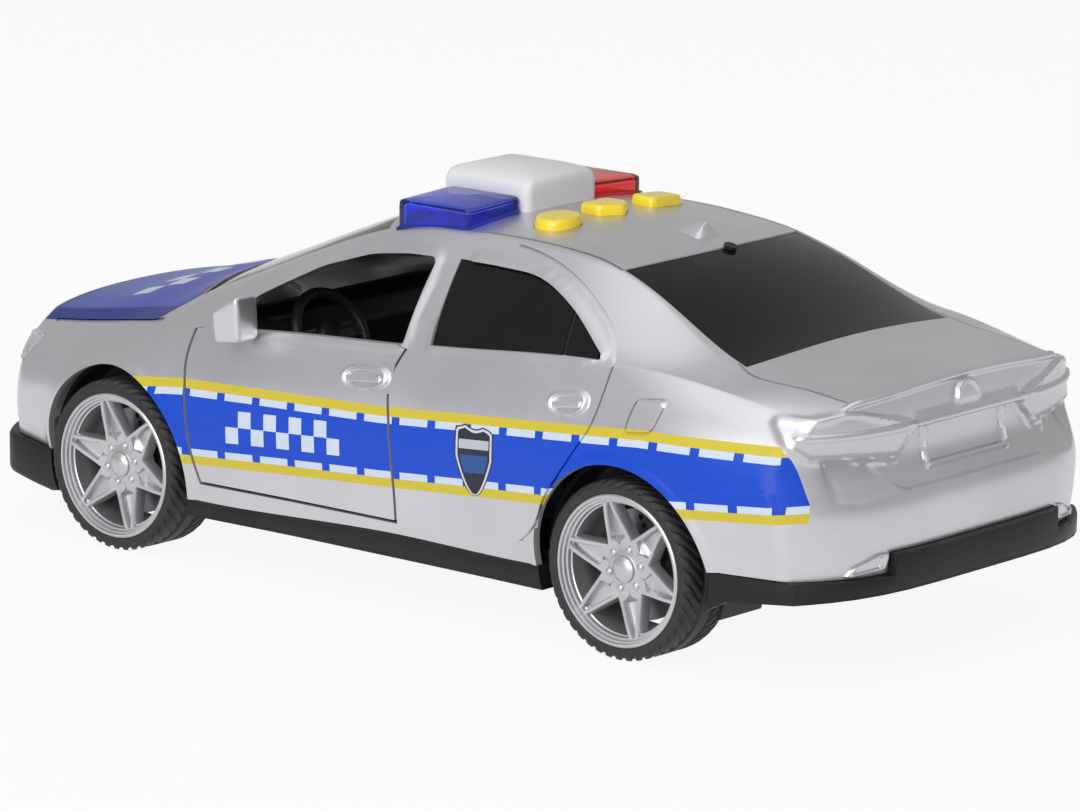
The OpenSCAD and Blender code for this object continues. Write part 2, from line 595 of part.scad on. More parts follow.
// Chassis: plan of the body at the sill, stretched to the bumpers, cut to the side profile
stretch = half_len / (half_len - bumper_out);
plan_z = roof_h * .36;
plan_levels = concat([for (f = [0, .3, .5, .65, .78, .88, .95]) [tail_s, f]],
  [for (t = steps(40)) [mix(tail_s, nose_s, t), 1]],
  [for (f = [.95, .88, .78, .65, .5, .25, 0]) [nose_s, f]]);
plan_half = [for (l = plan_levels) let (y = l[1] * side_y(l[0], sill_z(l[0])))
  [stretch * place(l[0], y, plan_z), y]];
module plan() polygon(concat(plan_half, [for (i = [len(plan_half) - 2:-1:1])
  [plan_half[i][0], -plan_half[i][1]]]));
bottom_shares = [[-1.01, .235], [-.78, .205], [-.7, .14], [.7, .14], [.78, .097], [1.01, .097]];
belly_z = roof_h * bottom_shares[2][1];
floor_z = belly_z + floor_t;
rim_h = 2.5;
rim_inset = wall + 3 * fit + bumper_out + tail_rake * .3;
module profile(lift, rise) along_y(-half_w, half_w) polygon(concat(
  [for (p = bottom_shares) [along(p[0]), roof_h * p[1] + lift]],
  [for (t = steps(24)) let (s = along(mix(1.01, -1.01, t))) [s, sill_z(s) - fit + rise]]));
liner_y = half_w * .927 - wall - sill_tuck;
post_foot_z = [floor_z - overrun, roof_h * .23];
insert_z = roof_h * .24;
bearing_y = half_w * .49;
bearing_w = 4;
bearing_r = 4;

// Door hinge: upright axis behind the door's front edge, inside the door's inner panel
trim_t = 2;
hinge_back = 13.5;
hinge_set = 1.04;
hinge_x = door_front_x - hinge_back;
hinge_y = waist_y(hinge_x) - wall - fit - trim_t - hinge_set;
lug_z = [roof_h * .3, roof_h * .49];
lug_t = 3;
lug_r = knuckle_d / 2;
post_set = 6;
post_x = hinge_x - post_set;
post_y = hinge_y - post_set;
post_w = 4;
module hinge_post() {
  translate([post_x - post_w / 2, post_y - post_w / 2, floor_z - overrun])
    cube([post_w, post_w, lug_z[1] + lug_t / 2 - floor_z + overrun]);
  for (z = lug_z) translate([hinge_x, hinge_y, z - lug_t / 2]) {
    cylinder(r = lug_r, h = lug_t);
    rotate(atan2(post_y - hinge_y, post_x - hinge_x)) translate([0, -lug_r * .75, 0])
      cube([norm([post_x - hinge_x, post_y - hinge_y]), lug_r * 1.5, lug_t]);
  }
}

// Battery bay and speaker
bay_x = along(-.09);
cell_gap = 0.6;
bay_play = 1;
bay_l = cell_d + 2 * bay_play;
cell_pitch = cell_d + cell_gap;
bay_w = cells * cell_pitch + bay_play;
bay_wall = 1.4;
bay_door_t = 1.5;
bay_screw_d = 2;
bay_tab = 6;
bay_screw_x = bay_x + bay_l / 2 + bay_tab / 2;
speaker_x = along(.16);
hole_d = 2;
module bay_plan(grow) translate([bay_x - bay_l / 2 - grow, -bay_w / 2 - grow])
  square([bay_l + 2 * grow, bay_w + 2 * grow]);
module bay_tab_plan(grow) translate([bay_x, -bay_tab / 2 - grow])
  square([bay_l / 2 + bay_tab + grow, bay_tab + 2 * grow]);

module chassis() color(black) difference() {
  union() {
    difference() {
      union() {
        intersection() {
          linear_extrude(roof_h) plan();
          profile(0, 0);
        }
        intersection() {
          linear_extrude(roof_h) offset(delta = -rim_inset) plan();
          profile(0, rim_h);
        }
      }
      intersection() {
        linear_extrude(roof_h) offset(delta = -rim_inset - tray_wall) plan();
        profile(floor_t, roof_h);
      }
      for (x = [front_axle_x, rear_axle_x]) both_sides() translate([x, 0, axle_z])
        rod(2 * arch_r, well_y, half_w + overrun);
    }
    // Wheel housings
    for (x = [front_axle_x, rear_axle_x]) both_sides() intersection() {
      translate([x, 0, axle_z]) difference() {
        rod(2 * (arch_r + tray_wall), well_y - tray_wall, liner_y);
        rod(2 * arch_r, well_y, half_w);
      }
      translate([-length, 0, belly_z]) cube([2 * length, half_w, roof_h]);
    }
    // Axle bearings
    for (x = [front_axle_x, rear_axle_x]) both_sides() {
      translate([x - bearing_r, bearing_y - bearing_w / 2, floor_z - overrun])
        cube([2 * bearing_r, bearing_w, axle_z - floor_z + overrun]);
      translate([x, 0, axle_z]) rod(2 * bearing_r, bearing_y - bearing_w / 2, bearing_y + bearing_w / 2);
    }
    both_sides() hinge_post();
    for (i = [0, 1]) both_sides() translate([post_places[i][0], post_places[i][1], post_foot_z[i]])
      cylinder(d = head_d + 2 * tray_wall + 2 * fit, h = post_z - post_foot_z[i]);
    // Black insert in the middle of the rear bumper
    intersection() {
      linear_extrude(roof_h) plan();
      translate([-half_len - overrun, fit - notch_y, insert_z])
        cube([notch_l + overrun, 2 * (notch_y - fit), notch_z - fit - insert_z]);
    }
    translate([speaker_x, 0, floor_z - overrun]) difference() {
      cylinder(d = speaker_d + 2 * fit + 2 * tray_wall, h = overrun + speaker_h * .6);
      cylinder(d = speaker_d + 2 * fit, h = roof_h);
    }
    translate([bay_screw_x, 0, floor_z - overrun])
      cylinder(d = bay_screw_d + 2 * bay_wall, h = overrun + cell_t);
  }
  for (x = [front_axle_x, rear_axle_x]) translate([x, 0, axle_z]) {
    rod(axle_d + 2 * run, -bearing_y - bearing_w, bearing_y + bearing_w);
    both_sides() rod(axle_d + 4 * clear, bearing_y + bearing_w, half_w);
  }
  both_sides() translate([hinge_x, hinge_y, lug_z[0] - lug_t]) cylinder(d = hinge_d + run, h = roof_h);
  for (p = post_places) both_sides() translate([p[0], p[1], 0]) {
    cylinder(d = head_d + 2 * fit, h = screw_seat_z);
    cylinder(d = screw_d + 2 * fit, h = roof_h);
  }
  translate([0, 0, belly_z - overrun]) linear_extrude(overrun + floor_t * 2) bay_plan(0);
  translate([0, 0, belly_z - overrun]) linear_extrude(overrun + bay_door_t + fit) bay_tab_plan(fit);
  translate([bay_screw_x, 0, 0]) cylinder(d = bay_screw_d + fit, h = floor_z + cell_t - tray_wall);
  translate([speaker_x, 0, 0]) {
    cylinder(d = hole_d, h = roof_h);
    for (a = [0:60:300]) rotate(a) translate([speaker_d / 4, 0, 0]) cylinder(d = hole_d, h = roof_h);
  }
  // Room for the gearbox round the axle
  along_y(case_y[0] - case_wall - clear, case_y[1] + case_wall + clear) case_outline(case_wall + clear);
}

module chassis_screws() color(steel) for (p = post_places) both_sides()
  translate([p[0], p[1], screw_seat_z]) {
  translate([0, 0, -head_h]) difference() {
    cylinder(d = head_d, h = head_h);
    for (a = [0, 90]) rotate(a) translate([-head_d / 4, -head_d / 16, -overrun])
      cube([head_d / 2, head_d / 8, overrun + head_h / 2]);
  }
  translate([0, 0, -head_h / 4]) cylinder(d = screw_d, h = roof_h * .17);
}

module battery_door() color(black) difference() {
  translate([0, 0, belly_z]) linear_extrude(bay_door_t) {
    bay_plan(-fit);
    bay_tab_plan(0);
  }
  translate([bay_screw_x, 0, 0]) cylinder(d = bay_screw_d + fit, h = roof_h);
  translate([bay_screw_x, 0, belly_z - overrun])
    cylinder(d = 2 * bay_screw_d + fit, h = overrun + bay_door_t * .6);
}
module battery_door_screw() color(steel) translate([bay_screw_x, 0, belly_z]) {
  cylinder(d = 2 * bay_screw_d, h = bay_door_t * .6);
  cylinder(d = bay_screw_d, h = bay_door_t + cell_t * .7);
}
module at_cells() for (i = [0:cells - 1])
  translate([bay_x, (i - (cells - 1) / 2) * cell_pitch, belly_z + bay_door_t + fit]) children();
module battery_cells() color(steel) at_cells() {
  cylinder(d = cell_d, h = cell_t * .82);
  cylinder(d = cell_d * .84, h = cell_t);
}
contact_t = 0.4;
contact_z = belly_z + bay_door_t + fit + cell_t;
bay_top_z = contact_z + contact_t + fit;
module battery_contacts() color([.8, .66, .3]) at_cells() translate([0, 0, cell_t]) {
  cylinder(d = cell_d * .5, h = contact_t);
  translate([-bay_l / 2 + fit, -cell_d / 8, 0]) cube([bay_l - 2 * fit, cell_d / 4, contact_t]);
}
module battery_box() color(black) translate([0, 0, floor_z]) difference() {
  linear_extrude(bay_top_z - floor_z + bay_wall) bay_plan(bay_wall);
  translate([0, 0, -overrun]) linear_extrude(bay_top_z - floor_z + overrun) bay_plan(0);
  translate([bay_screw_x, 0, -overrun]) cylinder(d = bay_screw_d + 2 * bay_wall + 2 * fit, h = roof_h);
}
module speaker() color([.2, .2, .21]) translate([speaker_x, 0, floor_z]) difference() {
  union() {
    cylinder(d = speaker_d, h = speaker_h * .4);
    cylinder(d = speaker_d * .6, h = speaker_h);
  }
  translate([0, 0, -overrun]) cylinder(d = speaker_d * .8, h = overrun + speaker_h * .16);
}

// Places of the friction drive's shafts and the room its case takes
idler_angle = 20;
fly_angle = 25;
idler_gap = tooth * (axle_teeth + idler_pinion_teeth) / 2;
fly_gap = tooth * (idler_wheel_teeth + fly_teeth) / 2;
idler_at = [rear_axle_x + idler_gap * cos(idler_angle), axle_z + idler_gap * sin(idler_angle)];
fly_at = idler_at + fly_gap * [cos(fly_angle), sin(fly_angle)];
case_wall = 1;
case_gap = 0.5;
case_top_z = fly_at[1] + fly_d / 2 + case_gap + case_wall;
case_front_x = fly_at[0] + fly_d / 2 + case_gap + case_wall;

// Seats and floor of the cabin
tub_z = roof_h * .27;
tub_t = 1.5;
tub_y = min(half_w * .75, post_y - post_w / 2 - clear);
tub_gap = 1.1;
deck_y = well_y - tray_wall - tub_gap;
tub_narrow_y = deck_y - 4 * fit;
deck_z = max(roof_h * .465, case_top_z + clear);
tub_x = [max(along(-.32), case_front_x + clear), hinge_x - post_w, along(.44)];
deck_x = along(-.6);
seat_w = half_w * .454;
seat_y = half_w * .4;
seat_round = 2;
// Seat sides: share of the half length, then share of the height that is free above the seat's floor
front_room = board_top - board_t - tub_z;
bench_room = roof_h - deck_z;
front_seat_shares = [[.17, 0], [.17, .287], [.155, .342], [-.02, .298], [-.1, .97], [-.16, .959], [-.09, 0]];
bench_shares = [[-.33, 0], [-.33, .15], [-.35, .188], [-.5, .15], [-.545, .55], [-.585, .525], [-.56, 0]];
module seat_form(shares, z, room) offset(seat_round) offset(-seat_round)
  polygon([for (p = shares) [along(p[0]), z + room * p[1]]]);
module seat_hollow(shares, z, room) for (drop = [0:tub_t:3 * tub_t]) translate([0, -drop])
  offset(delta = -tub_t - seat_round / 4) seat_form(shares, z, room);
module seat_tub() color(black) {
  difference() {
    union() {
      translate([tub_x[0], -tub_y, tub_z]) cube([tub_x[1] - tub_x[0], 2 * tub_y, tub_t]);
      translate([tub_x[0], -tub_narrow_y, tub_z]) cube([tub_x[2] - tub_x[0], 2 * tub_narrow_y, tub_t]);
      translate([tub_x[0], -deck_y, tub_z]) cube([tub_t, 2 * deck_y, deck_z - tub_z + tub_t]);
      translate([deck_x, -deck_y, deck_z]) cube([tub_x[0] - deck_x + tub_t, 2 * deck_y, tub_t]);
      for (e = [-1, 1]) along_y(e * seat_y - seat_w / 2, e * seat_y + seat_w / 2)
        seat_form(front_seat_shares, tub_z + tub_t / 2, front_room);
      along_y(-deck_y, deck_y) seat_form(bench_shares, deck_z + tub_t / 2, bench_room);
      // Legs down to the chassis floor
      for (x = [tub_x[0] + 2 * tub_t, tub_x[1] - 4 * tub_t]) both_sides()
        translate([x, tub_narrow_y, floor_z])
        cylinder(d = 2 * post_w, h = tub_z - floor_z + tub_t / 2);
    }
    for (e = [-1, 1]) along_y(e * seat_y - seat_w / 2 + tub_t, e * seat_y + seat_w / 2 - tub_t)
      seat_hollow(front_seat_shares, tub_z + tub_t / 2, front_room);
    along_y(tub_t - deck_y, deck_y - tub_t) seat_hollow(bench_shares, deck_z + tub_t / 2, bench_room);
  }
}
dash_shares = [[.36, .49], [.345, .6], [.37, .655], [.42, .665], [.5, .64], [.5, .52], [.44, .49]];
console_shares = [[.2, .405], [.33, .439], [.37, .56], [.42, .56]];
console_w = 16;
module dashboard() color(black) {
  along_y(-deck_y, deck_y) offset(seat_round) offset(-seat_round)
    polygon([for (p = dash_shares) [along(p[0]), roof_h * p[1]]]);
  along_y(-console_w / 2, console_w / 2) polygon(concat(
    [[along(.42), tub_z + tub_t], [along(.2), tub_z + tub_t]],
    [for (p = console_shares) [along(p[0]), roof_h * p[1]]]));
}
wheel_d = 25;
grip_d = 2.6;
wheel_at = [along(.3), half_w * .4, roof_h * .6];
wheel_tilt = -62;
column_l = half_len * .0405;
module steering_wheel() color(black) translate(wheel_at) rotate([0, wheel_tilt, 0]) {
  rotate_extrude() translate([wheel_d / 2 - grip_d / 2, 0]) circle(d = grip_d);
  cylinder(d = wheel_d * .3, h = grip_d, center = true);
  for (a = [90, 180, 270]) rotate(a) translate([0, -grip_d / 2, -grip_d / 4])
    cube([wheel_d / 2 - grip_d / 2, grip_d, grip_d / 2]);
  translate([0, 0, -column_l]) cylinder(d = grip_d * 1.4, h = column_l);
}

// Light bar: pillow-shaped lenses on the roof
edge_shares = [0, .03, .1, .22, .4, .6, .78, .9, .97, 1];
function swell(u) = .45 + .55 * (1 - abs(2 * u - 1) ^ 5) ^ .5;
function lens_grid(x, y, top, crown, draw) = [for (u = edge_shares) [for (v = edge_shares) let (
    px = mix(x[0] + draw, x[1] - draw, u), py = mix(y[0] + draw, y[1] - draw, v), base = roof_z(px, py),
    t = mix(top[0], top[1], v) - draw + crown * (1 - (2 * v - 1) ^ 2) * (1 - (1.5 * u - .6) ^ 2))
  [px, py, base + (t - base) * swell(u) * swell(v)]]];
function lens_floor(x, y, draw, d) = [for (u = edge_shares) [for (v = edge_shares) let (
    px = mix(x[0] + draw, x[1] - draw, u), py = mix(y[0] + draw, y[1] - draw, v))
  [px, py, roof_z(px, py, d)]]];
module lens(x, y, top, crown) difference() {
  sheet(lens_grid(x, y, top, crown, 0), lens_floor(x, y, 0, -fit / 2));
  sheet(lens_grid(x, y, top, crown, glass_t), lens_floor(x, y, glass_t, overrun));
}
lens_x = [bar_x - bar_l / 2, bar_x + bar_l / 2];
lens_top = roof_h + bar_h;
white_over = [2.1, 2.3];
white_x = [lens_x[0] - white_over[0], lens_x[1] + white_over[1]];
lens_slope = 0.8;
lens_edge = [lens_top + lens_slope * .4, lens_top - lens_slope * .6];
white_top = roof_h + white_h * .55;
module blue_lens() color([.05, .2, .8, .7]) lens(lens_x, lens_y, lens_edge, 0);
module red_lens() color([.8, .05, .06, .7]) mirrored() lens(lens_x, lens_y, lens_edge, 0);
module white_lens() color([.93, .93, .92])
  lens(white_x, [-white_w / 2, white_w / 2], [white_top, white_top], white_h * .45);

// Circuit board under the roof
board_x = [along(-.31), along(.1)];
board_y = lens_mid_y + board_edge;
module circuit_board() color([.1, .35, .16]) difference() {
  union() {
    translate([board_x[0], -board_y, board_top - board_t])
      cube([board_x[1] - board_x[0], 2 * board_y, board_t]);
    for (i = [0:2]) at_button(i) translate([0, 0, board_top - board_t / 2]) {
      translate([-switch_h, -switch_h, 0]) cube([2 * switch_h, 2 * switch_h, board_t / 2 + switch_h * .8]);
      cylinder(d = switch_h, h = board_t / 2 + switch_h);
    }
  }
  for (p = led_places) translate([p[0], p[1], 0]) cylinder(d = led_d + fit, h = roof_h);
}
module beacon_leds() color([.9, .9, .95, .8]) for (p = led_places)
  translate([p[0], p[1], board_top - board_t]) {
  cylinder(d = led_d, h = roof_h - board_top + board_t - fit);
  translate([0, 0, roof_h - board_top + board_t - fit]) cylinder(d1 = led_d, d2 = led_d * .7, h = led_d / 6);
}

// Buttons: cap through the roof, flange below it and a stem to the switch
module button(i) color(yellow) at_button(i) {
  flange_z = button_roof(i) - wall - clear - flange;
  top = roof_z(button_s, button_places[i]) + button_h;
  translate([0, 0, flange_z]) linear_extrude(flange) offset(flange) button_outline(i);
  translate([0, 0, flange_z]) linear_extrude(top - flange_z - button_h * .3) button_outline(i);
  translate([0, 0, flange_z]) linear_extrude(top - flange_z - button_h * .1) offset(-button_h * .15)
    button_outline(i);
  translate([0, 0, flange_z]) linear_extrude(top - flange_z) offset(-button_h * .4) button_outline(i);
  stem_z = board_top + switch_h + button_travel + fit;
  translate([0, 0, stem_z]) cylinder(d = switch_h, h = flange_z - stem_z + flange / 2);
}
module left_button() button(0);
module middle_button() button(1);
module right_button() button(2);

// Wheels, drawn round the Y axis with the outer face towards +Y
barrel_t = 1.5;
tread_t = 0.8;
hub_d = 9;
spoke_t = 3.4;
disc_t = 1.6;
disc_y = -1;
tyre_shares = [[0, -.46], [.3, -.5], [.75, -.44], [.95, -.36], [1, -.3], [1, -.06], [.84, -.06], [.84, .06],
  [1, .06], [1, .3], [.95, .36], [.75, .44], [.3, .5], [0, .46]];
module turned() rotate([-90, 0, 0]) rotate_extrude() children();
module tyre() color(black) difference() {
  turned() polygon([for (p = tyre_shares) [mix(rim_d / 2 + fit, tyre_d / 2, p[0]), p[1] * tyre_w]]);
  for (i = [0:tread_grooves - 1], e = [0, 1]) rotate([0, (i + e / 2) * 360 / tread_grooves, 0])
    translate([tyre_d / 2 - tread_t, e == 0 ? tyre_w * .1 : -tyre_w * .6, -groove_w / 2])
      cube([2 * tread_t, tyre_w / 2, groove_w]);
}
spoke_shares = [[.2, -.075], [.55, -.11], [.95, -.055], [.95, .055], [.55, .11], [.2, .075]];
slot_shares = [[.36, -.02], [.62, -.05], [.84, -.012], [.84, .012], [.62, .05], [.36, .02]];
barrel_shares = [[1, -.46], [0, -.46], [0, .47], [.7, .47], [1.3, .38], [1, .2]];
module rim() color(silver) {
  turned() polygon([for (p = barrel_shares) [rim_d / 2 - barrel_t * p[0], tyre_w * p[1]]]);
  along_y(tyre_w * .36 - spoke_t, tyre_w * .36) for (i = [0:spokes - 1]) rotate(i * 360 / spokes)
    difference() {
    polygon([for (p = spoke_shares) [p[0], p[1]] * rim_d / 2]);
    polygon([for (p = slot_shares) [p[0], p[1]] * rim_d / 2]);
  }
  difference() {
    union() {
      rod(hub_d, 0, tyre_w * .38);
      rod(hub_d * .6, tyre_w * .3, tyre_w * .44);
      for (i = [0:spokes - 1]) rotate([0, (i + .5) * 360 / spokes, 0]) translate([hub_d * .38, 0, 0])
        rod(barrel_t, 0, tyre_w * .42);
    }
    rod(axle_d, -overrun, tyre_w * .3);
  }
}
module disc() color(steel) difference() {
  rod(disc_d, disc_y - disc_t, disc_y);
  rod(axle_d, disc_y - disc_t - overrun, overrun);
  for (i = [0:spokes - 1], r = [.56, .7, .84]) rotate([0, i * 360 / spokes + 40 * r, 0])
    translate([disc_d / 2 * r, 0, 0]) rod(hole_d * .7, disc_y - disc_t - overrun, overrun);
}
module axle() color(steel) rod(axle_d, -wheel_y - tyre_w * .3, wheel_y + tyre_w * .3);
module at_front() translate([front_axle_x, 0, axle_z]) children();
module at_rear() translate([rear_axle_x, 0, axle_z]) children();
module out() translate([0, wheel_y, 0]) children();
module front_axle() at_front() axle();
module rear_axle() at_rear() axle();
module front_left_tyre() at_front() out() tyre();
module front_left_rim() at_front() out() rim();
module front_left_disc() at_front() out() disc();
module front_right_tyre() mirrored() front_left_tyre();
module front_right_rim() mirrored() front_left_rim();
module front_right_disc() mirrored() front_left_disc();
module rear_left_tyre() at_rear() out() tyre();
module rear_left_rim() at_rear() out() rim();
module rear_left_disc() at_rear() out() disc();
module rear_right_tyre() mirrored() rear_left_tyre();
module rear_right_rim() mirrored() rear_left_rim();
module rear_right_disc() mirrored() rear_left_disc();

// Friction drive: gear on the rear axle, idler with pinion and wheel, flywheel
pressure = 20;
tip_share = .8;
root_share = 1.2;
backlash = 0.12;
function involute(r, base) = let (a = acos(min(1, base / r))) tan(a) * 180 / PI - a;
function flank(n, r) = let (p = tooth * n / 2, base = p * cos(pressure))
  90 / n - backlash / 2 / p * 180 / PI + involute(p, base) - involute(max(r, base), base);
module gear_outline(n) {
  p = tooth * n / 2;
  root = p - root_share * tooth;
  tip = p + tip_share * tooth;
  radii = [for (t = steps(5)) mix(root, tip, t)];
  polygon([for (i = [0:n - 1]) let (a = i * 360 / n) each concat(
    [for (r = radii) r * [cos(a - flank(n, r)), sin(a - flank(n, r))]],
    [for (k = [5:-1:0]) radii[k] * [cos(a + flank(n, radii[k])), sin(a + flank(n, radii[k]))]])]);
}
module gear(n, y, turn) translate([0, y, 0]) rotate([-90, 0, 0]) linear_extrude(gear_w)
  rotate(-turn) gear_outline(n);
gear_y = [case_gap, gear_w + 2 * case_gap];
fly_y = -fly_w;
case_y = [fly_y - case_gap, gear_y[1] + gear_w + case_gap];
case_axle_r = tooth * (axle_teeth / 2 + tip_share) + case_gap + case_wall;
module at_idler() translate([idler_at[0], 0, idler_at[1]]) children();
module at_fly() translate([fly_at[0], 0, fly_at[1]]) children();
module case_outline(grow) hull() {
  translate([rear_axle_x, axle_z]) circle(r = case_axle_r - case_wall + grow);
  translate(idler_at) circle(r = tooth * (idler_wheel_teeth / 2 + tip_share) + case_gap + grow);
  translate(fly_at) circle(r = fly_d / 2 + case_gap + grow);
}
module shaft_bores() {
  translate([rear_axle_x, 0, axle_z]) rod(axle_d + 2 * run, -half_w, half_w);
  at_idler() rod(shaft_d + 2 * run, -half_w, half_w);
  at_fly() rod(shaft_d + 2 * run, -half_w, half_w);
}
foot_l = 8;
module gearbox_case() color([.85, .83, .76]) difference() {
  union() {
    along_y(case_y[0] - case_wall, case_y[1]) case_outline(case_wall);
    translate([fly_at[0] - foot_l, case_y[0] - case_wall, floor_z])
      cube([foot_l, case_y[1] - case_y[0] + case_wall, fly_at[1] - floor_z]);
  }
  along_y(case_y[0], case_y[1] + overrun) case_outline(0);
  shaft_bores();
}
module gearbox_cover() color([.85, .83, .76]) difference() {
  along_y(case_y[1], case_y[1] + case_wall) case_outline(case_wall);
  shaft_bores();
}
// A tooth of one gear meets a gap of the next on the line between their centres
idler_turn = idler_angle + 180 + 180 / idler_pinion_teeth;
idler_wheel_turn = fly_angle;
module axle_gear() color(yellow) at_rear() difference() {
  gear(axle_teeth, gear_y[1], idler_angle);
  rod(axle_d, -half_w, half_w);
}
module idler_gear() color([.9, .9, .88]) at_idler() {
  gear(idler_pinion_teeth, gear_y[1], idler_turn);
  gear(idler_wheel_teeth, gear_y[0], idler_wheel_turn);
  rod(shaft_d * 2, gear_y[0] + gear_w / 2, gear_y[1] + gear_w / 2);
  rod(shaft_d, case_y[0] - case_wall, case_y[1] + case_wall);
}
module flywheel() color(steel) at_fly() {
  gear(fly_teeth, gear_y[0], fly_angle + 180 + 180 / fly_teeth);
  rod(fly_d, fly_y, 0);
  rod(shaft_d * 2, -fly_w / 2, gear_y[0] + gear_w / 2);
  rod(shaft_d, case_y[0] - case_wall, case_y[1] + case_wall);
}

// Doors
trim_edge = 2;
trim_set = 2.5;
trim_front = hinge_x - trim_set;
web_w = 3.2;
module left_door_skin() color(silver) difference() {
  union() {
    sheet(door_grid(door_gap, 0), door_grid(door_gap, wall));
    on_side(front_handle, -wall / 2, grip_out) capsule(handle_l * .8, 2 * grip_out);
  }
  on_side(front_handle, -dish_t, overrun) difference() {
    capsule(handle_l, handle_w);
    square([handle_l, 2 * grip_out + groove_w], center = true);
  }
}
function trim_grid(d) = [for (t = steps(6)) [for (c = steps(8)) let (
    z = mix(door_foot_z + door_gap + trim_edge, belt_z(front_handle[0]) - 2 * trim_edge, t),
    x = mix(door_edge(door_rear_shares, door_rear_x, z) + door_gap + trim_edge, trim_front, c))
  [x, side_y(x, z, d), z]]];
knuckle_z = [lug_z[0] + lug_t / 2 + clear, lug_z[1] - lug_t / 2 - clear];
arm_z = roof_h * .5;
arm_h = 3;
module left_door_trim() color(black) difference() {
  union() {
    sheet(trim_grid(wall + fit), trim_grid(wall + fit + trim_t));
    translate([hinge_x, hinge_y, knuckle_z[0]]) cylinder(d = knuckle_d, h = knuckle_z[1] - knuckle_z[0]);
    translate([trim_front - web_w, hinge_y - web_w / 4, knuckle_z[0]])
      cube([hinge_x - trim_front + web_w, web_w / 4 + hinge_set + trim_t / 4, knuckle_z[1] - knuckle_z[0]]);
    translate([door_rear_x + door_len * .15, side_y(front_handle[0], arm_z, wall + trim_t + 2 * arm_h),
      arm_z])
      cube([door_len * .45, 2 * arm_h + trim_t / 2, arm_h]);
  }
  translate([hinge_x, hinge_y, 0]) cylinder(d = hinge_d + 2 * run, h = roof_h);
}
module left_hinge_pin() color(steel) translate([hinge_x, hinge_y, lug_z[0] - lug_t / 2])
  cylinder(d = hinge_d, h = lug_z[1] - lug_z[0] + lug_t);
mirror_at = [door_front_x - door_len * .2275, half_w * .975, roof_h * .695];
mirror_l = 5.5;
mirror_w = 8;
mirror_h = 7;
mirror_foot = [mirror_at[0] + mirror_l / 3, belt_z(mirror_at[0]) - mirror_h / 3];
module left_mirror() color(silver) {
  hull() for (a = [-1, 1], b = [-1, 1], c = [-1, 1])
    translate(mirror_at + [a * mirror_l / 4, b * mirror_w / 3, (a + 1) * mirror_h * .04 + c * mirror_h / 4])
      sphere(d = mirror_l / 2, $fn = 16);
  hull() {
    translate(mirror_at - [0, mirror_w / 3, mirror_h / 4]) sphere(d = mirror_l / 2.4, $fn = 16);
    translate([mirror_foot[0], side_y(mirror_foot[0], mirror_foot[1]) + fit, mirror_foot[1]])
      sphere(d = fit, $fn = 12);
  }
}
module right_door_skin() mirrored() left_door_skin();
module right_door_trim() mirrored() left_door_trim();
module right_mirror() mirrored() left_mirror();
module right_hinge_pin() mirrored() left_hinge_pin();

chassis();
body_shell();
windscreen();
rear_window();
left_side_window();
right_side_window();
seat_tub();
dashboard();
steering_wheel();
left_headlight();
right_headlight();
blue_lens();
white_lens();
red_lens();
circuit_board();
beacon_leds();
speaker();
battery_box();
battery_cells();
battery_contacts();
battery_door();
battery_door_screw();
chassis_screws();
rear_window_screw();
gearbox_case();
gearbox_cover();
left_hinge_pin();
right_hinge_pin();
front_axle();
front_left_tyre();
front_left_rim();
front_left_disc();
front_right_tyre();
front_right_rim();
front_right_disc();
rear_axle();
axle_gear();
rear_left_tyre();
rear_left_rim();
rear_left_disc();
rear_right_tyre();
rear_right_rim();
rear_right_disc();
idler_gear();
flywheel();
left_door_skin();
left_door_trim();
left_mirror();
right_door_skin();
right_door_trim();
right_mirror();
left_button();
middle_button();
right_button();
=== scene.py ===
"""Toy patrol car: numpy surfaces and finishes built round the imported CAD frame.

Lengths inside the functions are in millimetres in the CAD frame, with +X to the nose, +Y to the car's
left and +Z up, and make_piece() turns them into metres.
"""

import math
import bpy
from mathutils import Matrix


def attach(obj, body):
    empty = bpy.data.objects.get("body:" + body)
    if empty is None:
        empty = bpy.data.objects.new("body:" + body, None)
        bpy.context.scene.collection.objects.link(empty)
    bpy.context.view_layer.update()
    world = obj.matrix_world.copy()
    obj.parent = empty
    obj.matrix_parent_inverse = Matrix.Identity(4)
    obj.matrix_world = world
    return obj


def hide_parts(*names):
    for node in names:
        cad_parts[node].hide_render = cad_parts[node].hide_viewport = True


bl_info = {
    "name": "Toy patrol car",
    "version": (1, 0, 0),
    "blender": (4, 5, 0),
    "location": "View3D > Sidebar > Patrol car",
    "description": "Builds the shell, glazing, lamps, wheels and finishes of a toy patrol car",
    "category": "Object",
}

from functools import partial

import bmesh
import bpy
import numpy as np
from mathutils import Matrix

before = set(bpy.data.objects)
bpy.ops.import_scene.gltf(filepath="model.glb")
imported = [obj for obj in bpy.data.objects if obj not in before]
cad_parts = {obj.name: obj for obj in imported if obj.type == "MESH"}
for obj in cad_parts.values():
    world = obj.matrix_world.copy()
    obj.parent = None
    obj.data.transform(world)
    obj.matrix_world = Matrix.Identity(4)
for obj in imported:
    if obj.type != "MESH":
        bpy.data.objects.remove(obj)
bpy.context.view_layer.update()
MM, MM_PER_M = 0.001, 1000.0
SIDES = ((1, "left"), (-1, "right"))

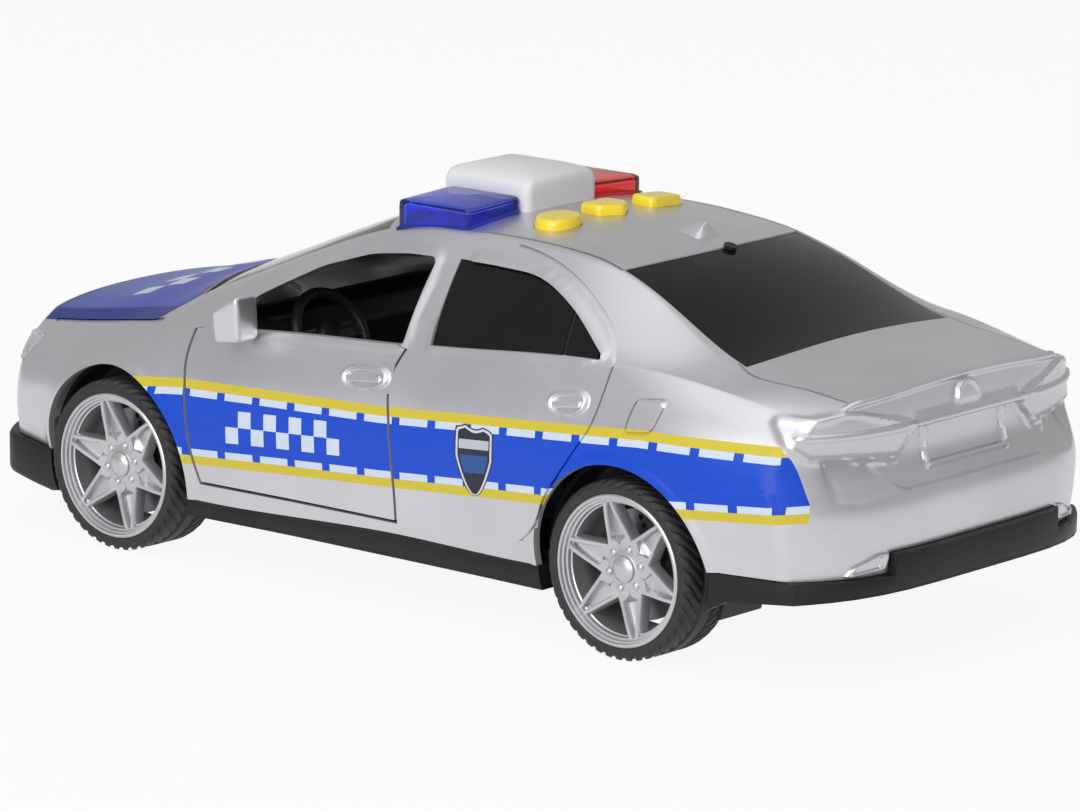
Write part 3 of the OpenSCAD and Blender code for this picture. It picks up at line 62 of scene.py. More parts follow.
# The body's guide lines: shares of the half length along the car, and of the half width or the roof height.
HALF_LEN, HALF_W, ROOF_H = 137.0, 59.5, 89.0
TAIL_S, NOSE_S = -135.8, 135.8
LINES = {
    "waist_y": [(-1, .925), (-.84, .975), (-.58, 1), (-.22, .987), (.15, .985), (.6, 1), (.8, .966),
                (1, .89)],
    "sill_z": [(-1, .28), (-.74, .27), (-.44, .21), (-.04, .205), (.41, .187), (.73, .219), (1, .25)],
    "belt_y": [(-1, .78), (-.88, .815), (-.73, .85), (-.49, .883), (-.12, .89), (.3, .887), (.42, .882),
               (.55, .866), (.75, .823), (.86, .798), (1, .74)],
    "belt_z": [(-1, .675), (-.88, .708), (-.73, .742), (-.49, .753), (-.12, .712), (.23, .678), (.42, .652),
               (.55, .633), (.75, .584), (.86, .55), (1, .505)],
    "rail_y": [(-1, .605), (-.88, .64), (-.77, .655), (-.715, .652), (-.47, .566), (-.4, .548), (-.29, .543),
               (-.07, .546), (.04, .555), (.1, .575), (.47, .726), (.52, .733), (.57, .723), (.7, .69),
               (.85, .672), (1, .605)],
    "rail_z": [(-1, .717), (-.88, .737), (-.77, .753), (-.715, .773), (-.47, .917), (-.4, .948), (-.29, .97),
               (-.07, .976), (.04, .963), (.1, .937), (.47, .708), (.52, .679), (.57, .665), (.7, .638),
               (.85, .607), (1, .573)],
    "top_z": [(-1, .737), (-.88, .757), (-.8, .77), (-.745, .793), (-.48, .948), (-.41, .979), (-.29, .994),
              (-.07, 1), (.09, .989), (.175, .966), (.23, .935), (.555, .738), (.61, .71), (.72, .683),
              (.88, .629), (1, .596)],
}
TAIL_SHARES = [(.2, .3), (.28, .2), (.36, 0), (.46, 0), (.5, .24), (.56, .64), (.65, .72), (.74, 1)]
NOSE_SHARES = [(.17, .08), (.25, .04), (.36, 0), (.45, .125), (.52, .375), (.585, .75), (.63, 1)]
TAIL_RAKE, TAIL_BOW, TAIL_POWER, TAIL_BLEND = 5.0, 22.0, 4.5, 75.0
NOSE_RAKE, NOSE_BOW, NOSE_POWER, NOSE_BLEND = 12.0, 24.0, 3.2, 70.0
SILL_TUCK, SHOULDER_POWER, GLASS_BULGE, BULGE_RISE = 2.6, 2.2, 1.6, 20.0
STATION_PASSES = 6

# Wheels and openings.
AXLE_X, AXLE_Z, WHEEL_Y = {"front": 81.5, "rear": -77.5}, 21.0, 49.75
ARCH_R, ARCH_POINTS = 24.8, 120
# How far in the cutters for arches, doors and windows start, and where they end past the skin.
ARCH_IN, DOOR_IN, WINDOW_IN, SIDE_OUT = 34.0, 40.0, 25.0, 70.0
DOOR_FRONT, DOOR_REAR, DOOR_FOOT, DOOR_HEAD = 56.7, -8.8, 20.9, 62.0
DOOR_LEN, DOOR_DROP = DOOR_FRONT - DOOR_REAR, .1
FRONT_EDGE = [(.23, -.065), (.33, -.026), (.41, -.012), (.49, 0), (.57, .023), (.65, .03)]
REAR_EDGE = [(.23, -.01), (.29, -.017), (.505, 0), (.63, .018), (.72, -.03)]
FRONT_WINDOW = [(.345, .67), (.325, .74), (.28, .78), (.2, .845), (.1, .894), (.02, .91), (-.048, .914),
                (-.062, .7)]
FRONT_SILL, FRONT_ROUND = .6, 2.5
SIDE_FOOT_SPAN, SIDE_HEAD_SPAN, SIDE_SILL = (-.121, -.49), (-.094, -.487), .4
SIDE_HEAD = [(0, .917), (.25, .917), (.47, .909), (.73, .857), (1, .772)]
# Each top window's foot and head as shares (station, half width), and the bow of both.
TOP_WINDOWS = {"windscreen": ((.51, .67), (.125, .5), (10, 10)),
               "rear_window": ((-.745, .63), (-.415, .535), (-1, -5))}
BUTTON_X, BUTTON_Y = -25.3, 18.0


def length(name, note, mm):
    """A length that a user may change."""
    return bpy.props.FloatProperty(name=name, description=note, default=mm * MM, unit="LENGTH")


def colour(name, note, rgb):
    """A colour that a user may change."""
    return bpy.props.FloatVectorProperty(name=name, description=note, default=rgb, subtype="COLOR")


def angle(name, note, degrees):
    """An angle that a user may change."""
    return bpy.props.FloatProperty(name=name, description=note, default=math.radians(degrees),
                                   unit="ROTATION")


def strength(name, note, value):
    """A share or strength that a user may change."""
    return bpy.props.FloatProperty(name=name, description=note, default=value, min=0, max=1)


class CarSizes(bpy.types.PropertyGroup):
    """Sizes a user may change."""
    wall: length("Shell wall", "Thickness of the moulded shell", 1.6)
    door_gap: length("Door gap", "Gap round each door", 0.8)
    tyre_d: length("Tyre diameter", "Outside diameter of a tyre", 42)
    tyre_w: length("Tyre width", "Width of a tyre", 17)
    spokes: bpy.props.IntProperty(name="Twin spokes", description="Twin spokes in a wheel", default=6, min=3)


class CarColours(bpy.types.PropertyGroup):
    """Colours a user may change."""
    silver: colour("Silver paint", "The shell's paint", (.62, .61, .64))
    blue: colour("Band blue", "The band and the bonnet", (.006, .068, .58))
    yellow: colour("Line yellow", "The lines beside the band", (.64, .52, .045))
    rim: colour("Rim silver", "The wheels' paint", (.56, .56, .58))
    button: colour("Button yellow", "The roof buttons", (.95, .7, .015))


class CarStage(bpy.types.PropertyGroup):
    """Camera and light a user may change."""
    lens: bpy.props.FloatProperty(name="Lens", description="Focal length", default=218.45, unit="CAMERA")
    azimuth: angle("Azimuth", "Camera turn round the car", 220.626)
    rise: angle("Rise", "Camera angle above the floor", 12.395)
    roll: angle("Roll", "Camera roll", 0.348)
    distance: length("Distance", "Camera distance", 1567.8)
    world: strength("World light", "Strength of the even light", 0.25)
    gloss: strength("Sky in gloss", "Strength of the sky in reflections", 0.35)
    white: strength("Floor white", "Share of plain white in the floor as seen", 0.92)


# Guide lines and the surfaces between them.

def smooth(x, knots):
    """Cubic Hermite curve through knots; inner slopes weigh the neighbours' slopes by the other span."""
    kx, ky = np.array(knots, float).T
    span = np.diff(kx)
    chord = np.diff(ky) / span
    inner = (chord[:-1] * span[1:] + chord[1:] * span[:-1]) / (span[1:] + span[:-1])
    slope = np.concatenate([chord[:1], inner, chord[-1:]])
    q = np.clip(x, kx[0], kx[-1])
    i = np.clip(np.searchsorted(kx, q, side="right") - 1, 0, len(span) - 1)
    t = (q - kx[i]) / span[i]
    return ((2 * t**3 - 3 * t**2 + 1) * ky[i] + (t**3 - 2 * t**2 + t) * span[i] * slope[i]
            + (3 * t**2 - 2 * t**3) * ky[i + 1] + (t**3 - t**2) * span[i] * slope[i + 1])


def straight(x, knots):
    """Straight lines through knots."""
    return np.interp(x, *np.array(knots, float).T)


def ease(x, low, high):
    """Smooth step from 0 at low to 1 at high."""
    t = np.clip((x - low) / (high - low), 0, 1)
    return t * t * (3 - 2 * t)


def fade(x, low, high):
    """Smooth step from 1 at low to 0 at high."""
    return 1 - ease(x, low, high)


def sheet(u, v):
    """Two parameters spread over a grid, each given as (start, end, count)."""
    return np.meshgrid(np.linspace(*u), np.linspace(*v), indexing="ij")


def line(name, s):
    """A guide line at station s, in millimetres."""
    return smooth(np.asarray(s, float) / HALF_LEN, LINES[name]) * (HALF_W if name.endswith("_y") else ROOF_H)


def side_y(s, z):
    """Half width below the belt: the waist, less a square tuck to the sill and a power curve to the belt."""
    waist, belt = line("waist_y", s), line("belt_y", s)
    low, high = line("sill_z", s), line("belt_z", s)
    mid = (low + high) / 2
    down = np.clip((mid - z) / (mid - low), 0, 1)
    up = np.clip((z - mid) / (high - mid), 0, 1)
    return waist - SILL_TUCK * down**2 - (waist - belt) * up**SHOULDER_POWER


def glass_y(s, z):
    """Half width above the belt: a straight line from belt to rail with a shallow outward parabola."""
    belt, rail = line("belt_y", s), line("rail_y", s)
    low, high = line("belt_z", s), line("rail_z", s)
    t = np.clip((z - low) / (high - low), 0, 1)
    return (belt + (rail - belt) * t
            + GLASS_BULGE * 4 * t * (1 - t) * np.minimum(1, (high - low) / BULGE_RISE))


def skin_y(s, z):
    """Half width of the body at station s and height z."""
    return np.where(z < line("belt_z", s), side_y(s, z), glass_y(s, z))


def roof_z(s, y):
    """Height of the bonnet, roof and boot: a parabola across from rail to centre."""
    rail, low, top = line("rail_y", s), line("rail_z", s), line("top_z", s)
    return low + (top - low) * (1 - np.minimum(1, (y / rail)**2))


def over_roof(rise):
    """A height function of x and y that lies a fixed rise above the roof."""
    return lambda x, y: roof_z(x, y) + rise


def place(s, y, z):
    """Where station s lies along the car: the ends lean with height and bow away from the centre."""
    a = np.abs(y) / HALF_W
    at_tail = 1 - np.clip((s - TAIL_S) / TAIL_BLEND, 0, 1)
    at_nose = 1 - np.clip((NOSE_S - s) / NOSE_BLEND, 0, 1)
    return (s + at_tail * (TAIL_RAKE * smooth(z / ROOF_H, TAIL_SHARES) + TAIL_BOW * a**TAIL_POWER)
            - at_nose * (NOSE_RAKE * smooth(z / ROOF_H, NOSE_SHARES) + NOSE_BOW * a**NOSE_POWER))


def station(x, y, z):
    """The station of points on the skin: place() undone by a few corrections."""
    s = x
    for _ in range(STATION_PASSES):
        s = s + x - place(s, y, z)
    return s


def on_side(s, z, out=0.0, hand=1):
    """Points on the flank at station s and height z, pushed out sideways."""
    y = skin_y(s, z) + out
    return np.stack(np.broadcast_arrays(place(s, y, z), hand * y, z), -1)


def on_top(s, y, up=0.0):
    """Points on the bonnet, roof or boot at station s and offset y, lifted."""
    z = roof_z(s, y) + up
    return np.stack(np.broadcast_arrays(place(s, y, z), y, z), -1)


# Mesh making.

MERGE, DEGENERATE, NODE_MERGE = 1e-6, 1e-7, 2e-6
SHARP = 35.0
ROUND_POINTS, ROUND_SHARE = 8, .45


def grid_faces(rows, cols, wrap_rows=False, wrap_cols=False):
    """Quads of a grid of points, with its last row or column joined to the first where asked."""
    i, j = np.meshgrid(np.arange(rows if wrap_rows else rows - 1),
                       np.arange(cols if wrap_cols else cols - 1), indexing="ij")
    k, m = (i + 1) % rows, (j + 1) % cols
    return np.stack([i * cols + j, i * cols + m, k * cols + m, k * cols + j], -1).reshape(-1, 4)


def grid(points, wrap_rows=False, wrap_cols=False):
    """A grid of points as a (points, quads) pair."""
    rows, cols = points.shape[:2]
    return points.reshape(-1, 3), grid_faces(rows, cols, wrap_rows, wrap_cols).tolist()


def tube(points):
    """A grid whose rows are closed rings, with a face over each end, as a (points, faces) pair."""
    rows, cols = points.shape[:2]
    flat, faces = grid(points, False, True)
    return flat, faces + [list(range(cols)), list(range((rows - 1) * cols, rows * cols))]


def gather(*parts):
    """Several (points, faces) pairs as one."""
    points, faces, start = [], [], 0
    for p, f in parts:
        points.append(p)
        faces += [[start + v for v in face] for face in f]
        start += len(p)
    return np.concatenate(points), faces


def thick(outer, inner):
    """A closed sheet between two grids of the same shape: both faces and the four edges between them."""
    rows, cols = outer.shape[:2]
    n = rows * cols
    idx = np.arange(n).reshape(rows, cols)
    rim = np.concatenate([idx[0], idx[1:, -1], idx[-1, -2::-1], idx[-2:0:-1, 0]])
    nxt = np.roll(rim, -1)
    faces = grid_faces(rows, cols)
    edge = np.stack([rim, rim + n, nxt + n, nxt], -1)
    quads = np.concatenate([faces, faces[:, ::-1] + n, edge])
    return np.concatenate([outer.reshape(-1, 3), inner.reshape(-1, 3)]), quads.tolist()


def prism(outline, y0, y1):
    """An outline in x and z carried straight along y."""
    n = len(outline)
    ends = [np.stack([outline[:, 0], np.full(n, y), outline[:, 1]], -1) for y in (y0, y1)]
    j = np.arange(n)
    k = (j + 1) % n
    sides = np.stack([j, k, k + n, j + n], -1).tolist()
    return np.concatenate(ends), [j[::-1].tolist(), (j + n).tolist()] + sides


def side_prism(outline, inner, hand):
    """A cutter through one side of the body: an outline in x and z from an inner offset to past the skin."""
    return prism(outline, *sorted((hand * inner, hand * SIDE_OUT)))


def arch(x, hand):
    """The cutter of one wheel arch."""
    return side_prism(oval(ARCH_R, ARCH_R, ARCH_POINTS) + [x, AXLE_Z], ARCH_IN, hand)


def revolve(radius, offset, n, hand, x, z=AXLE_Z, closed=True):
    """A section turned round a line along y at x and z: radii, and offsets outwards from a wheel's middle."""
    turn = np.linspace(0, 2 * math.pi, n, endpoint=False)[:, None]
    x, z = x + radius * np.cos(turn), z + radius * np.sin(turn)
    return grid(np.stack(np.broadcast_arrays(x, hand * (WHEEL_Y + offset), z), -1), True, closed)


def cushion(outline, steps, floor, top):
    """A closed pad: the outline shrinks about its centre by each step's share, while the height goes from the
    floor function to the top function by the step's rise."""
    share, rise = np.array(steps, float).T
    centre = (outline.max(0) + outline.min(0)) / 2
    p = centre + (outline - centre) * share[:, None, None]
    low, high = floor(p[..., 0], p[..., 1]), top(p[..., 0], p[..., 1])
    z = low + (high - low) * rise[:, None]
    return grid(np.concatenate([p, z[..., None]], -1), False, True)


def rounded(corners, radius):
    """A polygon whose corners are quadratic curves starting radius before each corner."""
    p = np.array(corners, float)
    back, on = np.roll(p, 1, 0) - p, np.roll(p, -1, 0) - p
    far_back, far_on = np.linalg.norm(back, axis=1), np.linalg.norm(on, axis=1)
    reach = np.minimum(radius, ROUND_SHARE * np.minimum(far_back, far_on))
    a = p + back * (reach / far_back)[:, None]
    b = p + on * (reach / far_on)[:, None]
    t = np.linspace(0, 1, ROUND_POINTS)[None, :, None]
    return ((1 - t)**2 * a[:, None] + 2 * t * (1 - t) * p[:, None] + t**2 * b[:, None]).reshape(-1, 2)


def oblong(front, rear, near, far, radius):
    """A rounded rectangle in x and y."""
    return rounded([(front, near), (front, far), (rear, far), (rear, near)], radius)


def oval(rx, ry, n=64):
    """An ellipse's outline."""
    a = np.linspace(0, 2 * math.pi, n, endpoint=False)
    return np.stack([rx * np.cos(a), ry * np.sin(a)], -1)


def make_piece(name, shape, material=None, sharp=SHARP):
    """A mesh object from a (points, faces) pair in millimetres: doubles merged, faces turned outwards, smooth
    shaded up to the sharp angle."""
    points, faces = shape
    mesh = bpy.data.meshes.new(name)
    mesh.from_pydata((np.asarray(points) * MM).tolist(), [], faces)
    bm = bmesh.new()
    bm.from_mesh(mesh)
    bmesh.ops.remove_doubles(bm, verts=bm.verts, dist=MERGE)
    bmesh.ops.dissolve_degenerate(bm, edges=bm.edges, dist=DEGENERATE)
    bmesh.ops.recalc_face_normals(bm, faces=bm.faces)
    bm.to_mesh(mesh)
    bm.free()
    obj = bpy.data.objects.new(name, mesh)
    bpy.context.scene.collection.objects.link(obj)
    soften(obj, sharp)
    if material:
        mesh.materials.append(material)
    return obj


def soften(obj, sharp=SHARP):
    """Smooth shading with edges sharper than the angle kept sharp."""
    obj.data.shade_smooth()
    obj.data.set_sharp_from_angle(angle=math.radians(sharp))


def carve(obj, shape, operation="DIFFERENCE", material=None):
    """Cuts a closed (points, faces) shape out of the object, joins it on or keeps only what is inside it."""
    tool = make_piece("tool", shape, material)
    mod = obj.modifiers.new("carve", "BOOLEAN")
    mod.operation, mod.solver, mod.object, mod.material_mode = operation, "MANIFOLD", tool, "TRANSFER"
    result = bpy.data.meshes.new_from_object(obj.evaluated_get(bpy.context.evaluated_depsgraph_get()))
    obj.modifiers.remove(mod)
    old, obj.data = obj.data, result
    bpy.data.meshes.remove(old)
    bpy.data.meshes.remove(tool.data)


def settle(obj, body, slot, *nodes):
    """The piece rides on a body and stands for the named CAD nodes, which it hides. The slot is not used."""
    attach(obj, body)
    if nodes:
        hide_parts(*nodes)


def dress(node, material, slot, sharp=30.0):
    """A merged, smooth shaded copy of a CAD node of the car body that stands for it."""
    obj = bpy.data.objects.new(node + "_moulding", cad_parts[node].data.copy())
    obj.data.materials.clear()
    obj.data.materials.append(material)
    bpy.context.scene.collection.objects.link(obj)
    bm = bmesh.new()
    bm.from_mesh(obj.data)
    bmesh.ops.remove_doubles(bm, verts=bm.verts, dist=NODE_MERGE)
    bm.to_mesh(obj.data)
    bm.free()
    soften(obj, sharp)
    settle(obj, "car_body", slot, node)
    return obj


def points_of(mesh):
    """A mesh's points in millimetres."""
    p = np.empty(len(mesh.vertices) * 3, np.float32)
    mesh.vertices.foreach_get("co", p)
    return p.reshape(-1, 3).astype(float) / MM


def write_field(mesh, name, value):
    """Writes a number for each vertex under the name that the shader reads."""
    mesh.attributes.new(name, "FLOAT", "POINT").data.foreach_set("value", value.astype(np.float32))


# Shader maths.

def binary(operation, swapped=False):
    """A method that joins a wire and another value by one maths node."""
    def method(self, other):
        return self.math(operation, *((other, self) if swapped else (self, other)))
    return method


class Wire:
    """A shader socket that works in plain expressions; make() adds any other node."""

    def __init__(self, tree, socket=None):
        self.tree, self.socket = tree, socket

    def make(self, kind, values=(), out=0, **settings):
        node = self.tree.nodes.new(kind)
        for key, value in settings.items():
            setattr(node, key, value)
        for key, value in (values.items() if isinstance(values, dict) else enumerate(values)):
            if isinstance(value, Wire):
                self.tree.links.new(value.socket, node.inputs[key])
            else:
                node.inputs[key].default_value = value
        return Wire(self.tree, node.outputs[out])

    def math(self, operation, *values):
        return self.make("ShaderNodeMath", values, operation=operation)

    __add__ = __radd__ = binary("ADD")
    __mul__ = __rmul__ = binary("MULTIPLY")
    __sub__, __rsub__ = binary("SUBTRACT"), binary("SUBTRACT", True)
    __truediv__, __mod__ = binary("DIVIDE"), binary("FLOORED_MODULO")
    __gt__, __lt__ = binary("GREATER_THAN"), binary("LESS_THAN")

    def __abs__(self):
        return self.math("ABSOLUTE", self)

    def within(self, low, high):
        return (self > low) * (self < high)

    def rise(self, low, high):
        return self.make("ShaderNodeMapRange", (self, low, high, 0.0, 1.0), interpolation_type="SMOOTHSTEP")

    def paint(self, under, over):
        """Colour over where this value is 1 and colour under where it is 0."""
        return self.make("ShaderNodeMix", {0: self, 6: under, 7: over}, out=2, data_type="RGBA")


def new_finish(name, base, rough=.5, metal=0.0, coat=0.0, **sockets):
    """A material with its constants set; returns it, its shader node and a wire on its tree."""
    mat = bpy.data.materials.new(name)
    mat.use_nodes = True
    node = mat.node_tree.nodes["Principled BSDF"]
    values = {"Base Color": (*base, 1), "Roughness": rough, "Metallic": metal, "Coat Weight": coat, **sockets}
    for key, value in values.items():
        node.inputs[key].default_value = value
    return mat, node, Wire(mat.node_tree)


def feed(wire, node, key):
    """Links a wire to a shader input."""
    wire.tree.links.new(wire.socket, node.inputs[key])


def grain(wire, scale, detail=2.0):
    """Noise on Object coordinates, 0 to 1."""
    where = wire.make("ShaderNodeTexCoord", out="Object")
    return wire.make("ShaderNodeTexNoise", {"Vector": where, "Scale": scale, "Detail": detail})


def field(wire, name):
    """A number that write_field() left on the mesh."""
    return wire.make("ShaderNodeAttribute", out="Fac", attribute_name=name)


def tint(base, share, lift=0.0):
    """A colour with its channels scaled and lifted, as the shader takes it."""
    return (*[min(1, c * share + lift) for c in base], 1)


FINISH = {}
PAINT_METAL, PAINT_ROUGH, FLAKE_SCALE = .85, .33, 2600.0
BUMP_DEPTH = .0002
BROAD = (22.0, 3.0)


def bump(wire, node, height, amount):
    """Feeds a height to the shader's normal."""
    raised = wire.make("ShaderNodeBump", {"Strength": amount, "Distance": BUMP_DEPTH, "Height": height})
    feed(raised, node, "Normal")


def moulded(name, base, rough=.5, metal=0.0, coat=0.0, scale=900.0, vary=.12, texture=.08, **sockets):
    """Moulded or painted stuff: a fine grain moves the roughness and the surface, a broad one the tone."""
    mat, node, wire = new_finish(name, base, rough, metal, coat, **sockets)
    fine, broad = grain(wire, scale), grain(wire, *BROAD)
    feed((fine - .5) * vary + (broad - .5) * vary + rough, node, "Roughness")
    feed(broad.rise(.3, .7).paint(tint(base, .92), tint(base, 1.08, .004)), node, "Base Color")
    bump(wire, node, fine, texture)
    return mat


# The print, in millimetres: widths from the band's upper and lower line, ticks, chequers and the shield.
LINE_W, UPPER_DASH, LOWER_DASH = 2.2, 3.9, 1.7
TICK_START, TICK_PITCH, TICK_W = 56.0, 11.05, 2.4
DOOR_SQUARES_X, DOOR_SQUARES_LOW, DOOR_SQUARE = (7.0, 43.0), (4.0, 12.0), 4.0
HOOD_SQUARES_X, HOOD_SQUARES_Y, HOOD_SQUARE = (90.0, 102.0), 30.0, 6.0
# The first width here is how far in from the bonnet's edges its painted shade reaches, which covers the side
# facet below the crease.
HOOD_SHADE_RIM, GRILLE_RIM = 2.4, .5
SHIELD_RING, SHIELD_BAR, SHIELD_BLOCK = (.35, .95), (9.0, 11.2), (3.4, 7.6)
SHIELD_BAR_IN, SHIELD_BLOCK_IN = 1.3, 1.6
PRINT_WHITE, GRILLE_BLACK = (.62, .7, .84, 1), (.012, .012, .014, 1)
# The bonnet's two blues are one blue painted with light: the darker is painted shade on the side facet and
# round the edges, the paler is a painted reflection on the top.
HOOD_SHADED_BLUE, HOOD_LIT_BLUE = (.006, .018, .2, 1), (.035, .055, .42, 1)
SHIELD_BLACK, SHIELD_SILVER = (.02, .025, .04, 1), (.62, .64, .68, 1)
SHIELD_GREY, SHIELD_BLUE = (.5, .52, .58, 1), (.03, .09, .3, 1)


def chequer(wire, u, v, size):
    """1 in every other square of a board."""
    return ((wire.math("FLOOR", u / size) + wire.math("FLOOR", v / size)) % 2.0) < .5


def livery_paint(name, colours):
    """Silver paint with a printed band: fields on the mesh give the heights from the band's two lines and the
    distances inside bonnet, flank, shield and grille, and Object x gives the ticks along the band."""
    mat, node, wire = new_finish(name, colours.silver, PAINT_ROUGH, PAINT_METAL, **{"Specular IOR Level": .3})
    where = wire.make("ShaderNodeTexCoord", out="Object")
    x, y = (wire.make("ShaderNodeSeparateXYZ", (where,), out=k) * MM_PER_M for k in (0, 1))
    low, up, hood, flank, shield, grille = (
        field(wire, k) for k in ("low", "up", "hood", "flank", "shield", "grille"))
    flake, broad = grain(wire, FLAKE_SCALE, 1.0), grain(wire, 30.0, 3.0)
    side, bonnet, badge, mouth = flank > 0, hood > 0, shield > 0, grille > GRILLE_RIM
    tick = ((x + TICK_START) % TICK_PITCH) < TICK_W
    lines = side * (up.within(0, LINE_W) + low.within(-LINE_W, 0))
    dashes = side * (up.within(LINE_W, UPPER_DASH) * (low > 0) + low.within(0, LOWER_DASH) * (up > 0))
    band = side * (up > UPPER_DASH) * (low > LOWER_DASH)
    squares = (x.within(*DOOR_SQUARES_X) * low.within(*DOOR_SQUARES_LOW)
               * chequer(wire, x - DOOR_SQUARES_X[0], low - DOOR_SQUARES_LOW[0], DOOR_SQUARE))
    hood_squares = (bonnet * x.within(*HOOD_SQUARES_X) * (abs(y) < HOOD_SQUARES_Y)
                    * chequer(wire, x, y, HOOD_SQUARE))
    blue = (*colours.blue, 1)
    shown = broad.rise(.25, .75).paint(tint(colours.silver, .94), tint(colours.silver, 1.05))
    for mask, over in (
            (lines, (*colours.yellow, 1)), (dashes, PRINT_WHITE), (dashes * tick, blue), (band, blue),
            (band * squares, PRINT_WHITE),
            (badge, SHIELD_BLACK), (shield.within(*SHIELD_RING), SHIELD_SILVER),
            ((shield > SHIELD_BAR_IN) * low.within(*SHIELD_BAR), SHIELD_GREY),
            ((shield > SHIELD_BLOCK_IN) * low.within(*SHIELD_BLOCK), SHIELD_BLUE),
            # The bonnet gets painted shade on its side facet and near its edges, and a painted reflection,
            # paler, on its top.
            (bonnet, HOOD_SHADED_BLUE), (hood > HOOD_SHADE_RIM, HOOD_LIT_BLUE), (hood_squares, PRINT_WHITE),
            (mouth, GRILLE_BLACK)):
        shown = mask.paint(shown, over)
    printed = wire.math("MINIMUM", lines + dashes + band + bonnet + mouth + badge, 1.0)
    feed(shown, node, "Base Color")
    feed((1 - printed) * PAINT_METAL, node, "Metallic")
    feed((flake - .5) * .16 + (broad - .5) * .1 + .34, node, "Roughness")
    bump(wire, node, flake, .035)
    return mat


def bare_metal(name, base, rough):
    """Bare metal: a fine grain moves the roughness and the surface."""
    mat, node, wire = new_finish(name, base, rough, .9)
    fine = grain(wire, 1400.0, 1.0)
    feed((fine - .5) * .25 + rough, node, "Roughness")
    bump(wire, node, fine, .05)
    return mat


def glow_lens(name, base, through, rough=.12):
    """A tinted clear lens, darkened with painted shade where the field edge says that two faces meet."""
    mat, node, wire = new_finish(name, base, rough, **{
        "Transmission Weight": through, "IOR": 1.45, "Specular IOR Level": .25})
    # Painted shade: the base colour falls to .3 of itself near the lens's edges.
    feed(field(wire, "edge").paint((*base, 1), tint(base, .3)), node, "Base Color")
    feed((grain(wire, 60.0) - .5) * .05 + rough, node, "Roughness")
    return mat


def mark_edge_shade(obj, low, high):
    """Writes how near each vertex is to an edge of a box, where the lens gets painted shade: the second
    largest of its three shares from the middle."""
    low, high = np.array(low), np.array(high)
    share = np.sort(np.abs(points_of(obj.data) * 2 - low - high) / (high - low), 1)[:, 1]
    write_field(obj.data, "edge", ease(share, .86, .98))


class PATROLCAR_OT_finishes(bpy.types.Operator):
    """Makes the materials and puts plain ones on the CAD nodes"""
    bl_idname = "patrolcar.finishes"
    bl_label = "Finishes"

    def execute(self, context):
        colours = context.scene.car_colours
        silver = tuple(colours.silver)
        FINISH.update(
            silver=livery_paint("silver_paint", colours),
            plain=moulded("silver_plain", silver, PAINT_ROUGH, PAINT_METAL, scale=FLAKE_SCALE, texture=.03),
            inside=moulded("silver_inside", tuple(c * .8 for c in silver), .42, .4),
            black=moulded("black_plastic", (.009, .009, .01), .45, texture=.12, **{"Specular IOR Level": .3}),
            cabin=moulded("cabin_plastic", (.02, .02, .022), .5),
            tyre=moulded("tyre", (.018, .018, .02), .62, scale=700.0, vary=.2, texture=.2),
            rim=moulded("rim_silver", tuple(colours.rim), .34, .8, scale=2200.0, vary=.05, texture=.012),
            # The brake disc's own silver is darkened here as painted shade, so the gaps between the spokes
            # read dark.
            disc=bare_metal("disc_silver", (.22, .22, .24), .34),
            steel=bare_metal("steel", (.5, .5, .52), .35),
            brass=bare_metal("contact_brass", (.7, .52, .2), .35),
            glass=moulded("smoked_glass", (.005, .005, .006), .1, scale=40.0, vary=.04, texture=.01,
                          **{"Specular IOR Level": .18}),
            button=moulded("button_yellow", tuple(colours.button), .24, coat=.5, scale=300.0, texture=.02),
            board=moulded("board", (.02, .16, .06), .45),
            gear=moulded("gear_plastic", (.75, .75, .7), .4),
            clear=glow_lens("clear_lens", (.85, .87, .9), .7),
            blue=glow_lens("blue_lens", (.05, .11, .85), .95, .06),
            red=glow_lens("red_lens", (.85, .04, .05), .95, .06),
            white=glow_lens("white_lens", (.86, .86, .88), .1, .4),
        )
        plain = {
            "steel": ["battery_door_screw", "chassis_screws", "left_hinge_pin", "right_hinge_pin",
                      "front_axle", "rear_axle", "battery_cells", "flywheel"],
            "brass": ["battery_contacts"],
            "board": ["circuit_board"],
            "gear": ["axle_gear", "idler_gear", "gearbox_case", "gearbox_cover"],
            "clear": ["beacon_leds"],
            "black": ["rear_window_screw", "speaker", "battery_box", "battery_door", "left_door_trim",
                      "right_door_trim"],
            "disc": [f"{end}_{side}_disc" for end in AXLE_X for _, side in SIDES],
        }
        for key, nodes in plain.items():
            for node in nodes:
                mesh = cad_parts[node].data
                mesh.materials.clear()
                mesh.materials.append(FINISH[key])
        return {"FINISHED"}


# The shell's relief. Each table runs along the first number of its pairs.

BAR_Z, BOSS_Z, BOSS_R, BOSS_IN = 56.9, 59.7, 4.9, 3.8
LAMP_OUTER = [(51.4, -123.8), (53.5, -121.7), (58.3, -116.8), (59.7, -115.3)]
LAMP_INNER = [(49.7, 25.1), (54.8, 20.8), (57.5, 19.3), (59.3, 25.4), (62, 35.6), (62.5, 39.9)]
LAMP_FOOT = [(25, 49.7), (39.5, 51.1), (48, 51.4), (50.6, 53.5)]
LAMP_HEAD = [(20.8, 58), (25.4, 59.3), (35.6, 62), (39.9, 62.5), (45.6, 61.3)]
PANEL_SIDE = [(43.2, 25), (48.4, 32), (50.1, 32.8), (50.6, 25.2), (54.5, 20.8), (56.5, 19.2)]
PANEL_DEEP, HOLLOW_DEEP, HOLLOW_POWER, HOLLOW_TOP = 1.5, 2.8, .8, 50.8
HOLLOW_LIP = [(25.5, 43.5), (33, 42.2), (40, 41.6), (44.9, 42.5), (47.3, 44.8)]
PLATE_Y, PLATE_Z = 15.3, 46.9
CREASE = [(-118.4, 45.4), (-106.9, 44.6), (-95.5, 43.6)]
CREASE_BACK = [(45.4, -118.4), (46.3, -119.4), (51.8, -121.4)]
